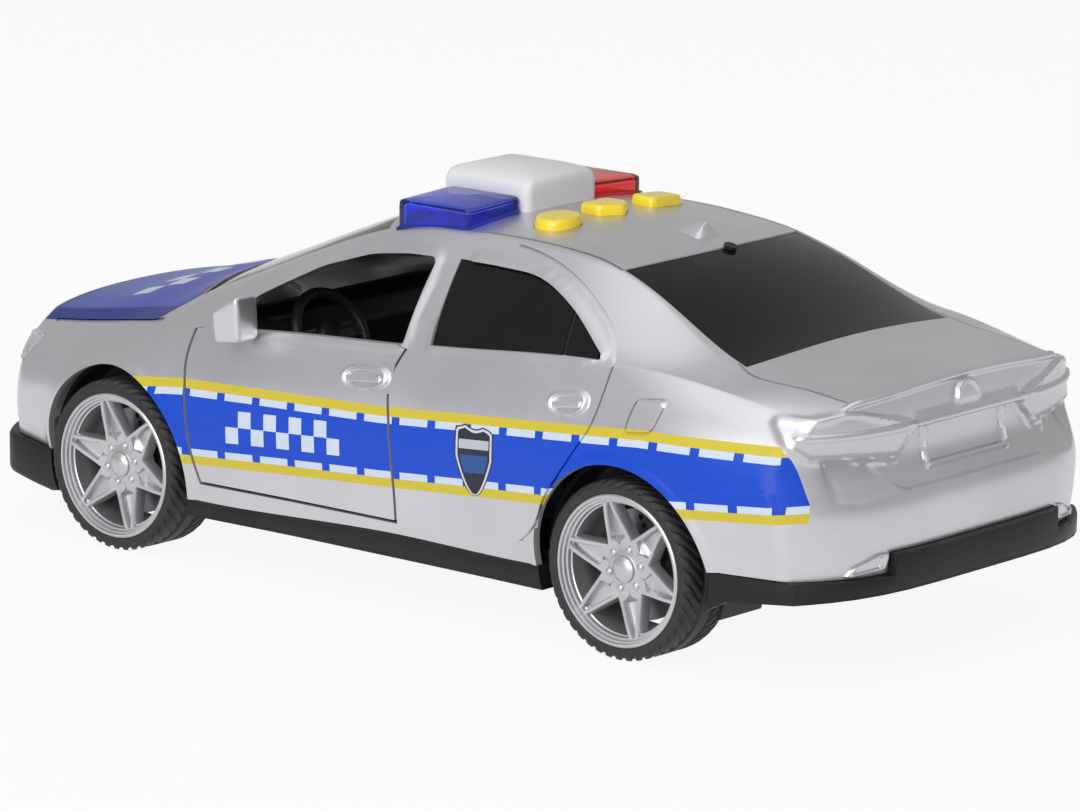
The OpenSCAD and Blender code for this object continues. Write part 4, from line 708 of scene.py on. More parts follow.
ARCH_LIP, CREASE_STEP, FRAME_RISE, SPOILER_RISE = .55, .5, .45, .7
TAIL_FROM, FLANK_FROM, NOSE_FROM, SPOILER_FROM = -108, 46, 100, -110
SLAT_PITCH, SLAT_RISE, GRILLE_DEEP = 2.3, .7, 1.3
# Half width at a level, its change with height, the level, the foot and the head.
GRILLE, INTAKE = (21, .5, 42, 38.6, 45.4), (31, -.6, 29, 25.8, 32.4)
OUTSIDE = -5


def lamp_field(x, y, z):
    """Distance inside a tail lamp: behind its outer edge, outside its inner edge, over its foot and under its
    head."""
    behind, outside = straight(z, LAMP_OUTER) - x, y - straight(z, LAMP_INNER)
    foot, head = z - straight(y, LAMP_FOOT), straight(y, LAMP_HEAD) - z
    return np.minimum(np.minimum(behind, outside) * .8, np.minimum(foot, head))


def tail_relief(x, y, z):
    """Rise of the tail's moulding over the bare skin: lamps with a ridge round them, a bar across the whole
    tail, a sunk panel with the plate's rim, hollows that deepen up to the lamps, and a half round boss over a
    ledge."""
    inside = lamp_field(x, y, z)
    lamp, ridge = ease(inside, -.5, .8), ease(inside, 0, .8) * fade(inside, .9, 1.8)
    bar = fade(np.abs(z - BAR_Z), .45, .85) * ease(-121.3 - x, 0, 1.5)
    panel = PANEL_DEEP * ease(z, 43.2, 44.2) * fade(z, 55.6, 56.2)
    plate = np.minimum(PLATE_Y - y, z - PLATE_Z)
    rim = ease(plate, -.4, .4) * fade(plate, .7, 1.5) * fade(z, 55.4, 56.2)
    lip = straight(y, HOLLOW_LIP)
    hollow = HOLLOW_DEEP * np.clip((z - lip) / (HOLLOW_TOP - lip), 0, 1)**HOLLOW_POWER
    hollow *= (z < 53) * fade(y, 43.6, 46.4)
    across = ease(y - straight(z, PANEL_SIDE), -.9, .9)
    reach = np.hypot(y, z - BOSS_Z)
    boss = (ease(BOSS_R - reach, 0, .5) - .5 * ease(BOSS_IN - reach, 0, .5)) * ease(z, 59.0, 59.5)
    ledge = ease(59.3 - z, 0, .4) * ease(z, 57.5, 58) * fade(y, 17, 20)
    sunk = (panel + (hollow - panel) * across) * (1 - lamp)
    rise = .5 * lamp + .4 * ridge + .9 * bar + 1.1 * rim - sunk + 1.1 * boss + .4 * ledge
    return np.where(x < TAIL_FROM, rise, 0)


def flank_relief(x, y, z):
    """Rise of the flank: a lip round each wheel arch, and the rear bumper's edge, which steps out under one
    line and behind another, then fades."""
    rise = np.zeros_like(x)
    for axle in AXLE_X.values():
        rise += ARCH_LIP * fade(np.hypot(x - axle, z - AXLE_Z) - ARCH_R, .8, 2.6)
    step = np.maximum(straight(x, CREASE) - z, straight(z, CREASE_BACK) - x)
    rise += CREASE_STEP * ease(step, 0, .5) * fade(step, .5, 9) * ease(-95 - x, 0, 6) * fade(z, 51, 52)
    return np.where(y > FLANK_FROM, rise, 0)


def grille_field(x, y, z):
    """Distance inside the grille or the lower intake on the nose."""
    inside = [np.minimum(half + slope * (z - level) - np.abs(y), np.minimum(z - foot, head - z))
              for half, slope, level, foot, head in (GRILLE, INTAKE)]
    return np.where(x > NOSE_FROM, np.maximum(*inside), OUTSIDE)


def nose_relief(x, y, z):
    """Rise of the nose: the grille and the intake sink, and level slats stand in them."""
    slat = ease(np.cos(z * 2 * math.pi / SLAT_PITCH), .2, .8)
    return ease(grille_field(x, y, z), 0, .9) * (SLAT_RISE * slat - GRILLE_DEEP)


def from_edge(x, z, ring):
    """Distance of points from a closed outline: the least over its segments."""
    a = ring[:, None]
    run = np.roll(ring, -1, 0)[:, None] - a
    gap = np.stack([x.ravel(), z.ravel()], -1)[None] - a
    t = np.clip((gap * run).sum(-1) / np.maximum((run * run).sum(-1), 1e-9), 0, 1)
    return np.linalg.norm(gap - t[..., None] * run, axis=-1).min(0).reshape(x.shape)


def window_relief(x, y, z):
    """Rise of a narrow frame round the openings of the front and rear side windows."""
    gap = np.minimum(from_edge(x, z, front_window_edge()), from_edge(x, z, side_window_edge()[::3]))
    return FRAME_RISE * fade(gap, .9, 1.5) * (y > WINDOW_IN)


def relief(s, x, y, z, share):
    """Rise of the skin's detail: tail, nose, flanks, window frames and a lip along the boot's rear edge."""
    lip = np.hypot(roof_z(s, y) - z, s - TAIL_S)
    spoiler = SPOILER_RISE * fade(lip, .3, 1.4) * fade(y, 38, 45) * (x < SPOILER_FROM)
    flank = np.where(share > .99, flank_relief(x, y, z) + window_relief(x, y, z), 0)
    return tail_relief(x, y, z) + nose_relief(x, y, z) + flank + spoiler


# The shell. Counts are stations, points up the side, the glass and the roof, and rings in the two end caps.

CORNER_ROWS, CORNER_PASSES = 6, 4
OUTER_COUNTS, INNER_COUNTS = (250, (62, 26, 20), (100, 40)), (90, (14, 10, 12), (10, 10))
END_WALL, INNER_FOOT = 4.4, 4.0
BODY_MIDDLE = (0, 0, 45)


def body_loft(inset, stations, counts, caps, bottom=None, detail=False, ends=0.0):
    """The body as one closed skin: each station's half ring runs from the sill up the flank, over the glass
    line to the rail and across to the centre, is mirrored, and the two end rings shrink sideways to a line.
    With detail, the rows at both corners are averaged with their neighbours and the relief is added."""
    s = np.linspace(TAIL_S + inset + ends, NOSE_S - inset - ends, stations)
    tail, nose = (np.linspace(0, 1, n, endpoint=False) for n in caps)
    share = np.concatenate([tail, np.ones(stations), nose[::-1]])[:, None]
    s = np.concatenate([np.full(len(tail), s[0]), s, np.full(len(nose), s[-1])])[:, None]
    side, glass, roof = (np.linspace(0, 1, n + 1)[None, :] for n in counts)
    sill, belt, rail = line("sill_z", s), line("belt_z", s), line("rail_z", s)
    low = sill if bottom is None else np.full_like(sill, bottom)
    z1 = low + (belt - low) * side
    y1 = side_y(s, np.maximum(z1, sill)) - inset
    z2 = belt + (rail - inset - belt) * glass[:, 1:]
    y2 = glass_y(s, belt + (rail - belt) * glass[:, 1:]) - inset
    wide = line("rail_y", s)
    y3 = wide * (1 - roof[:, 1:])
    z3 = roof_z(s, y3) - inset
    y3 = y3 * (wide - inset) / wide
    y = np.concatenate([y1, y2, y3], 1) * share
    z = np.concatenate([z1, z2, z3], 1)
    s, share = np.broadcast_to(s, y.shape), np.broadcast_to(share, y.shape)
    p = np.stack([place(s, y, z), y, z], -1)
    if detail:
        for edge in (len(tail), len(tail) + stations - 1):
            first, last = edge - CORNER_ROWS, edge + CORNER_ROWS + 1
            for _ in range(CORNER_PASSES):
                p[first:last] = (p[first - 1:last - 1] + 2 * p[first:last] + p[first + 1:last + 1]) / 4
        p = p + normals(p) * relief(s, *np.moveaxis(p, -1, 0), share)[..., None]
    p = np.concatenate([p, p[:, -2::-1] * [1, -1, 1]], 1)
    return grid(p, False, True)


def normals(p):
    """Unit normals of a grid of points from its two slopes, turned away from the car's middle."""
    n = np.cross(np.gradient(p, axis=1), np.gradient(p, axis=0))
    n /= np.maximum(np.linalg.norm(n, axis=-1, keepdims=True), 1e-9)
    return n * np.sign(np.sum(n * (p - BODY_MIDDLE), -1, keepdims=True))


GROOVE_LIFT = 1.5


def groove(path, width, deep, surface, closed=False):
    """A groove's cutter: a path of two surface parameters, spread half the width to each side, with a section
    from under the surface to above it."""
    q = np.array(path, float)
    ahead = np.roll(q, -1, 0) - np.roll(q, 1, 0) if closed else np.gradient(q, axis=0)
    across = np.stack([-ahead[:, 1], ahead[:, 0]], -1)
    across = across / np.linalg.norm(ahead, axis=1, keepdims=True) * width / 2
    a, b = (q - across).T, (q + across).T
    section = ((a, -deep), (b, -deep), (b, GROOVE_LIFT), (a, GROOVE_LIFT))
    p = np.stack([surface(*at, up) for at, up in section], 1)
    return grid(p, True, True) if closed else tube(p)


def along_path(corners, n):
    """Points spread evenly along a smooth curve through the corners."""
    c = np.array(corners, float)
    run = np.concatenate([[0], np.cumsum(np.linalg.norm(np.diff(c, axis=0), axis=1))])
    t = np.linspace(0, run[-1], n)
    return np.stack([smooth(t, np.stack([run, c[:, k]], -1)) for k in (0, 1)], -1)


# Panel lines: paths on the side in x and z or on the top in x and y, and each groove's width and depth.
REAR_DOOR = [(-48.1, 22.9), (-53.1, 27.3), (-57.5, 35.8), (-60.6, 40), (-65.7, 45.3), (-70.4, 49.6),
             (-73.6, 53), (-75, 57), (-75.2, 62), (-74.6, 66.6)]
DOOR_FRAME = [(-74.2, 67.4), (-67.1, 72.5), (-58.9, 76.7), (-49.3, 81), (-41.1, 83.6), (-33, 85.3),
              (-27, 86)]
BOOT_SIDE = [(-99.5, 37.6), (-105, 39.2), (-114, 39.0), (-122, 38.0), (-134, 37.2)]
ROOF_EDGE = [(-12, 31.4), (-30, 31), (-42, 30.8), (-50, 31.2), (-57, 32.2)]
SEAM, ROOF_SEAM, FRAME_SEAM, FLAP_SEAM = (.7, .6), (.8, .6), (.5, .35), (.7, .55)
SIDE_STEPS, TOP_STEPS = 70, 40
BONNET_EDGE, BONNET_SPAN = 2.4, (76, 130, 50)
FLAP = [(-98.3, 54.2), (-88.1, 53.4), (-88.1, 60.8), (-98.3, 61.6)]
FLAP_ROUND = 2
PANE_COUNT, PANE_ACROSS, PANE_CUT = (0, 1, 36), (-1, 1, 40), (3, -6)
TAIL_NOTCH, NOTCH_Y = [(-140.0, 0), (-122.0, 0), (-122.0, 30), (-140.0, 30)], 30.9
BUTTON_PLAY, BUTTON_SHAFT = 1.03, (70.0, 100.0)


def door_edge(inset):
    """The door's outline in x and z: up the rear edge, along the belt, down the front edge."""
    z = np.linspace(DOOR_FOOT + inset, DOOR_HEAD, 28)
    rear = DOOR_REAR + DOOR_LEN * smooth(z / ROOF_H, REAR_EDGE) + inset
    front = DOOR_FRONT + DOOR_LEN * smooth(z / ROOF_H, FRONT_EDGE) - inset
    up, down = (np.stack([x, z], -1)[z < line("belt_z", x) - DOOR_DROP] for x in (rear, front))
    x = np.linspace(rear[-1], front[-1], 26)[1:-1]
    return np.concatenate([up, np.stack([x, line("belt_z", x) - DOOR_DROP], -1), down[::-1]])


def front_window_edge():
    """The open front window's outline in x and z, its foot a little under the belt."""
    head = np.array(FRONT_WINDOW) * [HALF_LEN, ROOF_H]
    foot_x = np.linspace(head[-1, 0], head[0, 0], 12)[1:-1]
    foot = np.stack([foot_x, line("belt_z", foot_x) - FRONT_SILL], -1)
    head[[0, -1], 1] = line("belt_z", head[[0, -1], 0]) - FRONT_SILL
    return rounded(np.concatenate([head, foot]), FRONT_ROUND)


def side_window(t):
    """The rear side window's foot and head, each as station and height, at share t of its length."""
    foot, head = (HALF_LEN * (a + t * (b - a)) for a, b in (SIDE_FOOT_SPAN, SIDE_HEAD_SPAN))
    return (foot, line("belt_z", foot) + SIDE_SILL), (head, ROOF_H * smooth(t, SIDE_HEAD))


def side_window_edge():
    """The rear side window's outline in x and z."""
    foot, head = side_window(np.linspace(0, 1, 24))
    return np.concatenate([np.stack(foot, -1), np.stack(head, -1)[::-1]])


def pane(foot, head, bow, lift):
    """A top window's grid: stations run from foot to head and bow with the square of the offset."""
    u, v = sheet(PANE_COUNT, PANE_ACROSS)
    y = HALF_W * (foot[1] + (head[1] - foot[1]) * u) * v
    s = HALF_LEN * (foot[0] + (head[0] - foot[0]) * u) + (bow[0] + (bow[1] - bow[0]) * u) * (1 - v**2)
    return on_top(s, y, lift)


def window_slab(window, lifts):
    """A top window between two heights over the skin."""
    return thick(*(pane(*window, lift) for lift in lifts))


def button_outlines():
    """The three roof buttons' outlines in x and y: oval, pentagon pointing rearward and rounded bar."""
    point = rounded([(4.8, 5.2), (4.8, -5.2), (-1.5, -5.6), (-5.6, 0), (-1.5, 5.6)], 1.6)
    shapes = {"left": (oval(5.25, 6), BUTTON_Y), "middle": (point, 0.0),
              "right": (oblong(3.8, -3.8, 6, -6, 2.2), -BUTTON_Y)}
    return {k: outline + [BUTTON_X, y] for k, (outline, y) in shapes.items()}


# The livery's edges on the mesh: the band's two lines and rear end, the bonnet's foot and the shield's place.
BAND_UPPER = [(-122.5, 55.1), (-84, 54.7), (-5.4, 48.6), (20, 47.6), (57.1, 46.3), (73.1, 44.6)]
BAND_LOWER = [(-130.3, 41.0), (-57.6, 35.7), (-5.6, 31.7), (54.7, 27.9)]
BAND_REAR = [(40, -126.2), (42.6, -125.9), (52.5, -121.5), (58, -117)]
BAND_FRONT, BAND_IN = 78, 38
HOOD_FOOT, HOOD_BOW, HOOD_HALF, HOOD_NOSE = 70.6, 10, 39.9, .6
SHIELD_X, SHIELD_Z, SHIELD_HALF, SHIELD_HEAD, SHIELD_FOOT = -35.0, 41.2, 5.9, 7.4, 9.4


def shield_field(u, v):
    """Distance inside a plain shield: straight sides under a shallow double arch, narrowing to a point."""
    wide = SHIELD_HALF * np.sqrt(np.clip((v + SHIELD_FOOT) / 9.0, 0, 1))
    head = SHIELD_HEAD - .9 * np.abs(np.cos(u * math.pi / SHIELD_HALF))
    return np.minimum(wide - np.abs(u), head - v)


def mark_livery(obj):
    """Writes the paint's fields from each vertex's place: heights from the band's two lines, and distances
    inside the edges of bonnet, flank, shield and grille."""
    x, y, z = points_of(obj.data).T
    s, wide = station(x, y, z), np.abs(y)
    foot = HOOD_FOOT + np.maximum(HOOD_BOW * (1 - (y / HOOD_HALF)**2), wide - HOOD_HALF)
    values = {
        "low": z - straight(x, BAND_LOWER),
        "up": straight(x, BAND_UPPER) - z,
        "flank": np.minimum(np.minimum(x - straight(z, BAND_REAR), BAND_FRONT - x), wide - BAND_IN),
        "hood": np.minimum(np.minimum(s - foot, NOSE_S - HOOD_NOSE - s), z - line("rail_z", s) + BONNET_EDGE),
        "grille": grille_field(x, y, z),
        "shield": np.where(wide > BAND_IN, shield_field(x - SHIELD_X, z - SHIELD_Z), OUTSIDE),
    }
    for name, value in values.items():
        write_field(obj.data, name, value)


def panel_grooves():
    """Cutters of all panel lines: boot, roof edges, rear doors with their frames, bonnet and fuel flap."""
    hands = (1, -1)
    sides = {hand: partial(on_side, hand=hand) for hand in hands}
    s = np.linspace(*BONNET_SPAN)
    bonnet = np.stack([s, line("rail_z", s) - BONNET_EDGE], -1)
    return ([groove(along_path(path, TOP_STEPS) * [1, hand], *seam, on_top)
             for path, seam in ((BOOT_SIDE, SEAM), (ROOF_EDGE, ROOF_SEAM)) for hand in hands]
            + [groove(along_path(path, SIDE_STEPS), *seam, sides[hand])
               for hand in hands for path, seam in ((REAR_DOOR, SEAM), (DOOR_FRAME, FRAME_SEAM))]
            + [groove(bonnet, *SEAM, sides[hand]) for hand in hands]
            + [groove(rounded(FLAP, FLAP_ROUND), *FLAP_SEAM, on_side, True)])


class PATROLCAR_OT_shell(bpy.types.Operator):
    """Builds the painted shell with its openings and the two door skins"""
    bl_idname = "patrolcar.shell"
    bl_label = "Shell and doors"

    def execute(self, context):
        sizes = context.scene.car_sizes
        skin, inside = FINISH["silver"], FINISH["inside"]
        shell = make_piece("shell", body_loft(0, *OUTER_COUNTS, detail=True), skin)
        cut = partial(carve, shell, material=inside)
        cut(body_loft(sizes.wall / MM, *INNER_COUNTS, bottom=INNER_FOOT, ends=END_WALL))
        for hand, side in SIDES:
            body = side + "_door"
            door = bpy.data.objects.new(body + "_skin", shell.data.copy())
            context.scene.collection.objects.link(door)
            carve(door, side_prism(door_edge(sizes.door_gap / MM), DOOR_IN, hand), "INTERSECT", inside)
            soften(door)
            mark_livery(door)
            settle(door, body, "silver_paint", body + "_skin")
            cut(side_prism(door_edge(0.0), DOOR_IN, hand))
            windows = (front_window_edge(), side_window_edge())
            cut(gather(*(side_prism(edge, WINDOW_IN, hand) for edge in windows)))
            cut(gather(*(arch(x, hand) for x in AXLE_X.values())))
        cut(gather(*(window_slab(window, PANE_CUT) for window in TOP_WINDOWS.values())))
        shafts = []
        for hole in button_outlines().values():
            points, faces = prism((hole - hole.mean(0)) * BUTTON_PLAY + hole.mean(0), *BUTTON_SHAFT)
            shafts.append((points[:, [0, 2, 1]], faces))
        cut(gather(*shafts))
        for cutter in panel_grooves():
            carve(shell, cutter, material=skin)
        cut(prism(np.array(TAIL_NOTCH), -NOTCH_Y, NOTCH_Y))
        soften(shell, sharp=50)
        mark_livery(shell)
        settle(shell, "car_body", "silver_paint", "body_shell")
        return {"FINISHED"}


# Fittings.

HANDLES = {"front": (0.55, 54.5), "rear": (-63.4, 57.8)}
HANDLE_U, HANDLE_V = (-8.4, 8.4, 72), (-3.5, 3.5, 40)
HANDLE_LONG, HANDLE_HIGH, HANDLE_POWER, HANDLE_TILT = 7.6, 2.75, 2.6, math.radians(-5)
GRIP_HALF, GRIP_DROP = 4.6, .35
ROOT = 1.0
FIN_FRONT, FIN_LEN, FIN_HIGH, FIN_HALF, FIN_SPREAD = -46.8, 10.2, 3.2, 3.1, 1.4
FIN_RISE = [(0, 0), (.25, .66), (.84, 1), (1, .03)]
HEADLAMP_LOW = [(0, 41.8), (.45, 39.8), (.7, 40.2), (1, 45.6)]
HEADLAMP_HIGH = [(0, 44.4), (.45, 46.6), (.7, 47.4), (1, 46.8)]
HEADLAMP_TURN, HEADLAMP_BACK, HEADLAMP_LEN = .7, 6, 30
REFLECTOR = [(42.6, 25.2), (41.3, 27.2), (34.1, 29.9), (31.5, 30), (31.9, 26.4)]
SUNK_EDGE = [(0, 0), (1, 0), (1, .7), (.95, .92), (.9, 1), (.78, 1), (.7, .9), (.62, .62), (0, .6)]
# The centre and the half sizes of the mirror's two boxes.
MIRROR_HEAD, MIRROR_FOOT = ((40.2, 58.8, 62.4), (4.4, 3.6, 4.9)), ((41.5, 55.6, 58.6), (2.4, 2.6, 1.4))
MIRROR_POWER = .3
SKIRT_FOOT = [(-138.4, 20.9), (-106.9, 18.2), (-95.9, 12.5), (95.9, 12.5), (106.9, 10.2), (138.4, 14.2)]
CHIN = [(100.0, 0.0), (145.0, 0.0), (145.0, 15.04), (106.9, 10.2), (100.0, 11.4)]
# The skirt's section: how far out each point lies, its drop from the head and its rise from the foot.
SKIRT_PUSH = [-1.3, -.5, -.15, .1, .1, -.05, -.3, -.8, -1.3]
SKIRT_DROP, SKIRT_RISE, SKIRT_SWELL = [0, 0, .2, .7], [1.6, .8, .3, 0, 0], 1.3
SKIRT_PLAN_Z, BUMPER_STRETCH, SKIRT_TUCK = 32.04, 137 / 135.8, .1
SKIRT_END, SKIRT_SIDE = 60, 200
INSERT_X, INSERT_Y, INSERT_Z = -120, 30.6, 29.7


def handle_shape(x, z, hand):
    """A door handle: an oval rim round a dish with a rounded grip along it, its edge under the skin."""
    u, v = sheet(HANDLE_U, HANDLE_V)
    reach = np.abs(u / HANDLE_LONG)**HANDLE_POWER + np.abs(v / HANDLE_HIGH)**HANDLE_POWER
    reach = reach**(1 / HANDLE_POWER)
    rim = 1.5 * fade(reach, .84, 1.12) - .4 - .85 * fade(reach, .62, .86)
    grip = .95 * fade(np.hypot(np.maximum(np.abs(u) - GRIP_HALF, 0), (v + GRIP_DROP) * 1.1), .55, 1.25)
    c, d = math.cos(HANDLE_TILT), math.sin(HANDLE_TILT)
    s, h = x + u * c - v * d, z + u * d + v * c
    return thick(on_side(s, h, np.maximum(rim, grip + .1 * (reach < .8)), hand), on_side(s, h, -ROOT, hand))


def fin_shape():
    """The roof fin: a ridge on a wide foot that rises to the rear, with a slanting front and a steep back."""
    u, v = sheet((0, 1, 33), (-1, 1, 21))
    s = FIN_FRONT - FIN_LEN * u
    y = v * (FIN_HALF + FIN_SPREAD * u)
    high = FIN_HIGH * straight(u, FIN_RISE) * (1 - np.abs(v)**1.15)
    return thick(on_top(s, y, high - .1), on_top(s, y, -ROOT))


def headlight_shape(hand):
    """A headlamp lens that wraps the nose's corner: a strip between two lines, first across the nose and then
    back along the flank, crowned and with its edge under the skin."""
    u, v = sheet((0, 1, 70), (0, 1, 26))
    low, high = straight(u, HEADLAMP_LOW), straight(u, HEADLAMP_HIGH)
    z = low + v * (high - low)
    s = NOSE_S - HEADLAMP_BACK * np.maximum(u - HEADLAMP_TURN, 0) / (1 - HEADLAMP_TURN)
    y = side_y(s, z) * np.where(u < HEADLAMP_TURN, .5 + .5 * u / HEADLAMP_TURN, 1)
    p = np.stack([place(s, y, z), y, z], -1)
    n = normals(p)
    rim = np.minimum(np.minimum(u, 1 - u) * HEADLAMP_LEN, np.minimum(v, 1 - v) * (high - low))
    rise = .75 * ease(rim, 0, .9) - .35
    flip = np.array([1, hand, 1])
    return thick((p + n * rise[..., None]) * flip, (p - n * 1.2) * flip)


def reflector_shape(hand):
    """A tail reflector: a slanted pad on the tail with a raised rim round a sunk field."""
    points, faces = cushion(rounded(REFLECTOR, 1.0), SUNK_EDGE, lambda y, z: -place(TAIL_S, y, z) - .8,
                            lambda y, z: -place(TAIL_S, y, z) + 1.0)
    return points[:, [2, 0, 1]] * [-1, hand, 1], faces


def mirror_shape(hand):
    """A door mirror: a rounded box that leans outwards, thins towards the front and rises to its rear edge,
    on a short foot into the door; both are superellipsoids of two angles."""
    a, b = np.meshgrid(np.linspace(-math.pi, math.pi, 64, endpoint=False),
                       np.linspace(-math.pi / 2, math.pi / 2, 33), indexing="ij")
    waves = np.stack([np.cos(a), np.sin(a), np.cos(b), np.sin(b)])
    ca, sa, cb, sb = np.sign(waves) * np.abs(waves)**MIRROR_POWER
    u, v, w = cb * ca, cb * sa, sb
    (x, y, z), (long, deep, high) = MIRROR_HEAD
    head = np.stack([x + long * u, y + deep * v * (1 - .12 * u) + .4 * w,
                     z + high * w * (1 - .2 * u) - 1.6 * u], -1)
    (x, y, z), (long, deep, high) = MIRROR_FOOT
    foot = np.stack([x + long * u, y + deep * v, z + high * w], -1)
    points, faces = gather(grid(head, True), grid(foot, True))
    return points * [1, hand, 1], faces


def skirt_shape():
    """The black skirt: a section with a rounded foot runs round the body's plan at the sill, stretched to the
    bumpers, from the foot line to the sill or the tail insert's head, and swells at the front corners."""
    s = np.concatenate([np.full(SKIRT_END, TAIL_S), np.linspace(TAIL_S, NOSE_S, SKIRT_SIDE),
                        np.full(SKIRT_END, NOSE_S)])
    share = np.concatenate([np.linspace(0, 1, SKIRT_END, endpoint=False), np.ones(SKIRT_SIDE),
                            np.linspace(1, 0, SKIRT_END + 1)[1:]])
    sill = line("sill_z", s)
    y = share * side_y(s, sill)
    half = np.stack([BUMPER_STRETCH * place(s, y, SKIRT_PLAN_Z), y, sill - SKIRT_TUCK], -1)
    path = np.concatenate([half, half[-2:0:-1] * [1, -1, 1]])
    for _ in range(CORNER_PASSES):
        path = (np.roll(path, 1, 0) + 2 * path + np.roll(path, -1, 0)) / 4
    ahead = np.roll(path, -1, 0) - np.roll(path, 1, 0)
    out = np.stack([ahead[:, 1], -ahead[:, 0]], -1) / np.linalg.norm(ahead[:, :2], axis=1, keepdims=True)
    out *= np.sign(np.sum(out * path[:, :2], 1, keepdims=True))
    x, wide = path[:, 0], np.abs(path[:, 1])
    top = np.where((x < INSERT_X) & (wide < INSERT_Y), INSERT_Z, path[:, 2])
    push = np.tile(SKIRT_PUSH, (len(path), 1))
    push[:, 1:-1] += (SKIRT_SWELL * ease(x, 98, 116) * ease(wide, 24, 42))[:, None]
    z = np.concatenate([top[:, None] - SKIRT_DROP, straight(x, SKIRT_FOOT)[:, None] + SKIRT_RISE], 1)
    p = np.concatenate([path[:, None, :2] + out[:, None] * push[..., None], z[..., None]], -1)
    return grid(p, True, True)


class PATROLCAR_OT_fittings(bpy.types.Operator):
    """Builds the door handles, mirrors, roof fin, headlamp lenses, reflectors and the black skirt"""
    bl_idname = "patrolcar.fittings"
    bl_label = "Fittings and skirt"

    def execute(self, context):
        plain, black = FINISH["plain"], FINISH["black"]
        for hand, side in SIDES:
            for end, (x, z) in HANDLES.items():
                handle = make_piece(f"{end}_{side}_handle", handle_shape(x, z, hand), plain, sharp=60)
                settle(handle, side + "_door" if end == "front" else "car_body", "silver_paint")
            lamp = make_piece(side + "_headlamp", headlight_shape(hand), FINISH["clear"], sharp=50)
            settle(lamp, "car_body", "clear_lens", side + "_headlight")
            settle(make_piece(side + "_reflector", reflector_shape(hand), plain), "car_body", "silver_paint")
            mirror = make_piece(side + "_door_mirror", mirror_shape(hand), plain)
            settle(mirror, side + "_door", "silver_paint", side + "_mirror")
        settle(make_piece("roof_fin", fin_shape(), plain, sharp=40), "car_body", "silver_paint")
        skirt = make_piece("skirt", skirt_shape(), black)
        for x in AXLE_X.values():
            for hand, _ in SIDES:
                carve(skirt, arch(x, hand), material=black)
        soften(skirt)
        settle(skirt, "car_body", "black_plastic")
        return {"FINISHED"}


# Glazing, light bar and buttons. Each edge table holds a pad's shares of its outline and of its height.

PANE_FACES, SIDE_GLASS_FACES = (-.35, -1.6), (-.4, -1.7)
GLASS_BAR, GLASS_BAR_SEAM = [(-51.8, 78), (-54.3, 72), (-57.2, 65)], (.8, .8)
COVER_EDGE = [(0, 0), (1, 0), (1, .5), (1, .78), (.99, .87), (.97, .94), (.94, .98), (.9, .995), (.8, 1),
              (.6, 1), (.3, 1), (0, 1)]
LENS_EDGE = [(0, 0), (1, 0), (1, .3), (1, .6), (1, .84), (.994, .91), (.98, .96), (.955, .985), (.92, .997),
             (.8, 1), (.5, 1), (0, 1)]
SOFT_EDGE = [(0, 0), (1, 0), (1, .62), (.985, .8), (.95, .92), (.89, .975), (.8, .99), (.5, 1), (0, 1)]
LENS_FRONT, LENS_REAR, LENS_NEAR, LENS_FAR = 13.2, -9.4, 12.9, 31.5
LENS_WALL, LENS_FLANGE, FLANGE_RISE, LENS_BOX_Z = 1.3, .6, 1.0, (80.0, 92.8)
LENS_Z, LENS_FALL, LENS_CROWN = 93.7, .043, .9
COVER_FRONT, COVER_REAR, COVER_HALF, COVER_Z, COVER_CROWN = 15.5, -11.5, 12.75, 94.3, 4.1
BAR_SINK, HOLLOW_SINK = -.3, -.9
BUTTON_SINK, BUTTON_RISE = -4.0, 2.5


class PATROLCAR_OT_glazing(bpy.types.Operator):
    """Builds the windscreen, the rear window and the rear side windows"""
    bl_idname = "patrolcar.glazing"
    bl_label = "Glazing"

    def execute(self, context):
        for name, window in TOP_WINDOWS.items():
            glass = make_piece(name + "_glass", window_slab(window, PANE_FACES), FINISH["glass"])
            settle(glass, "car_body", "smoked_glass", name)
        t, u = sheet((0, 1, 40), (0, 1, 24))
        (foot, low), (head, high) = side_window(t)
        s, z = foot + (head - foot) * u, low + (high - low) * u
        for hand, name in SIDES:
            faces = (on_side(s, z, out, hand) for out in SIDE_GLASS_FACES)
            glass = make_piece(name + "_side_glass", thick(*faces), FINISH["glass"])
            bar = groove(along_path(GLASS_BAR, 12), *GLASS_BAR_SEAM, partial(on_side, hand=hand))
            carve(glass, bar, material=FINISH["black"])
            soften(glass)
            settle(glass, "car_body", "smoked_glass", name + "_side_window")
        return {"FINISHED"}


def lens_top(x, y, drop=0.0):
    """Height of a coloured lens, which falls to the side and to both ends, less a drop."""
    middle, half = (LENS_FRONT + LENS_REAR) / 2, (LENS_FRONT - LENS_REAR) / 2
    return LENS_Z - LENS_FALL * np.abs(y) - LENS_CROWN * ((x - middle) / half)**2 - drop


def cover_top(x, y):
    """Height of the white cover: an elliptic arch across that flattens towards both ends."""
    middle, half = (COVER_FRONT + COVER_REAR) / 2, (COVER_FRONT - COVER_REAR) / 2
    arched = np.sqrt(np.clip(1 - (y / LENS_NEAR)**2, 0, 1))
    return COVER_Z + COVER_CROWN * arched * (1 - .25 * ((x - middle) / half)**4)


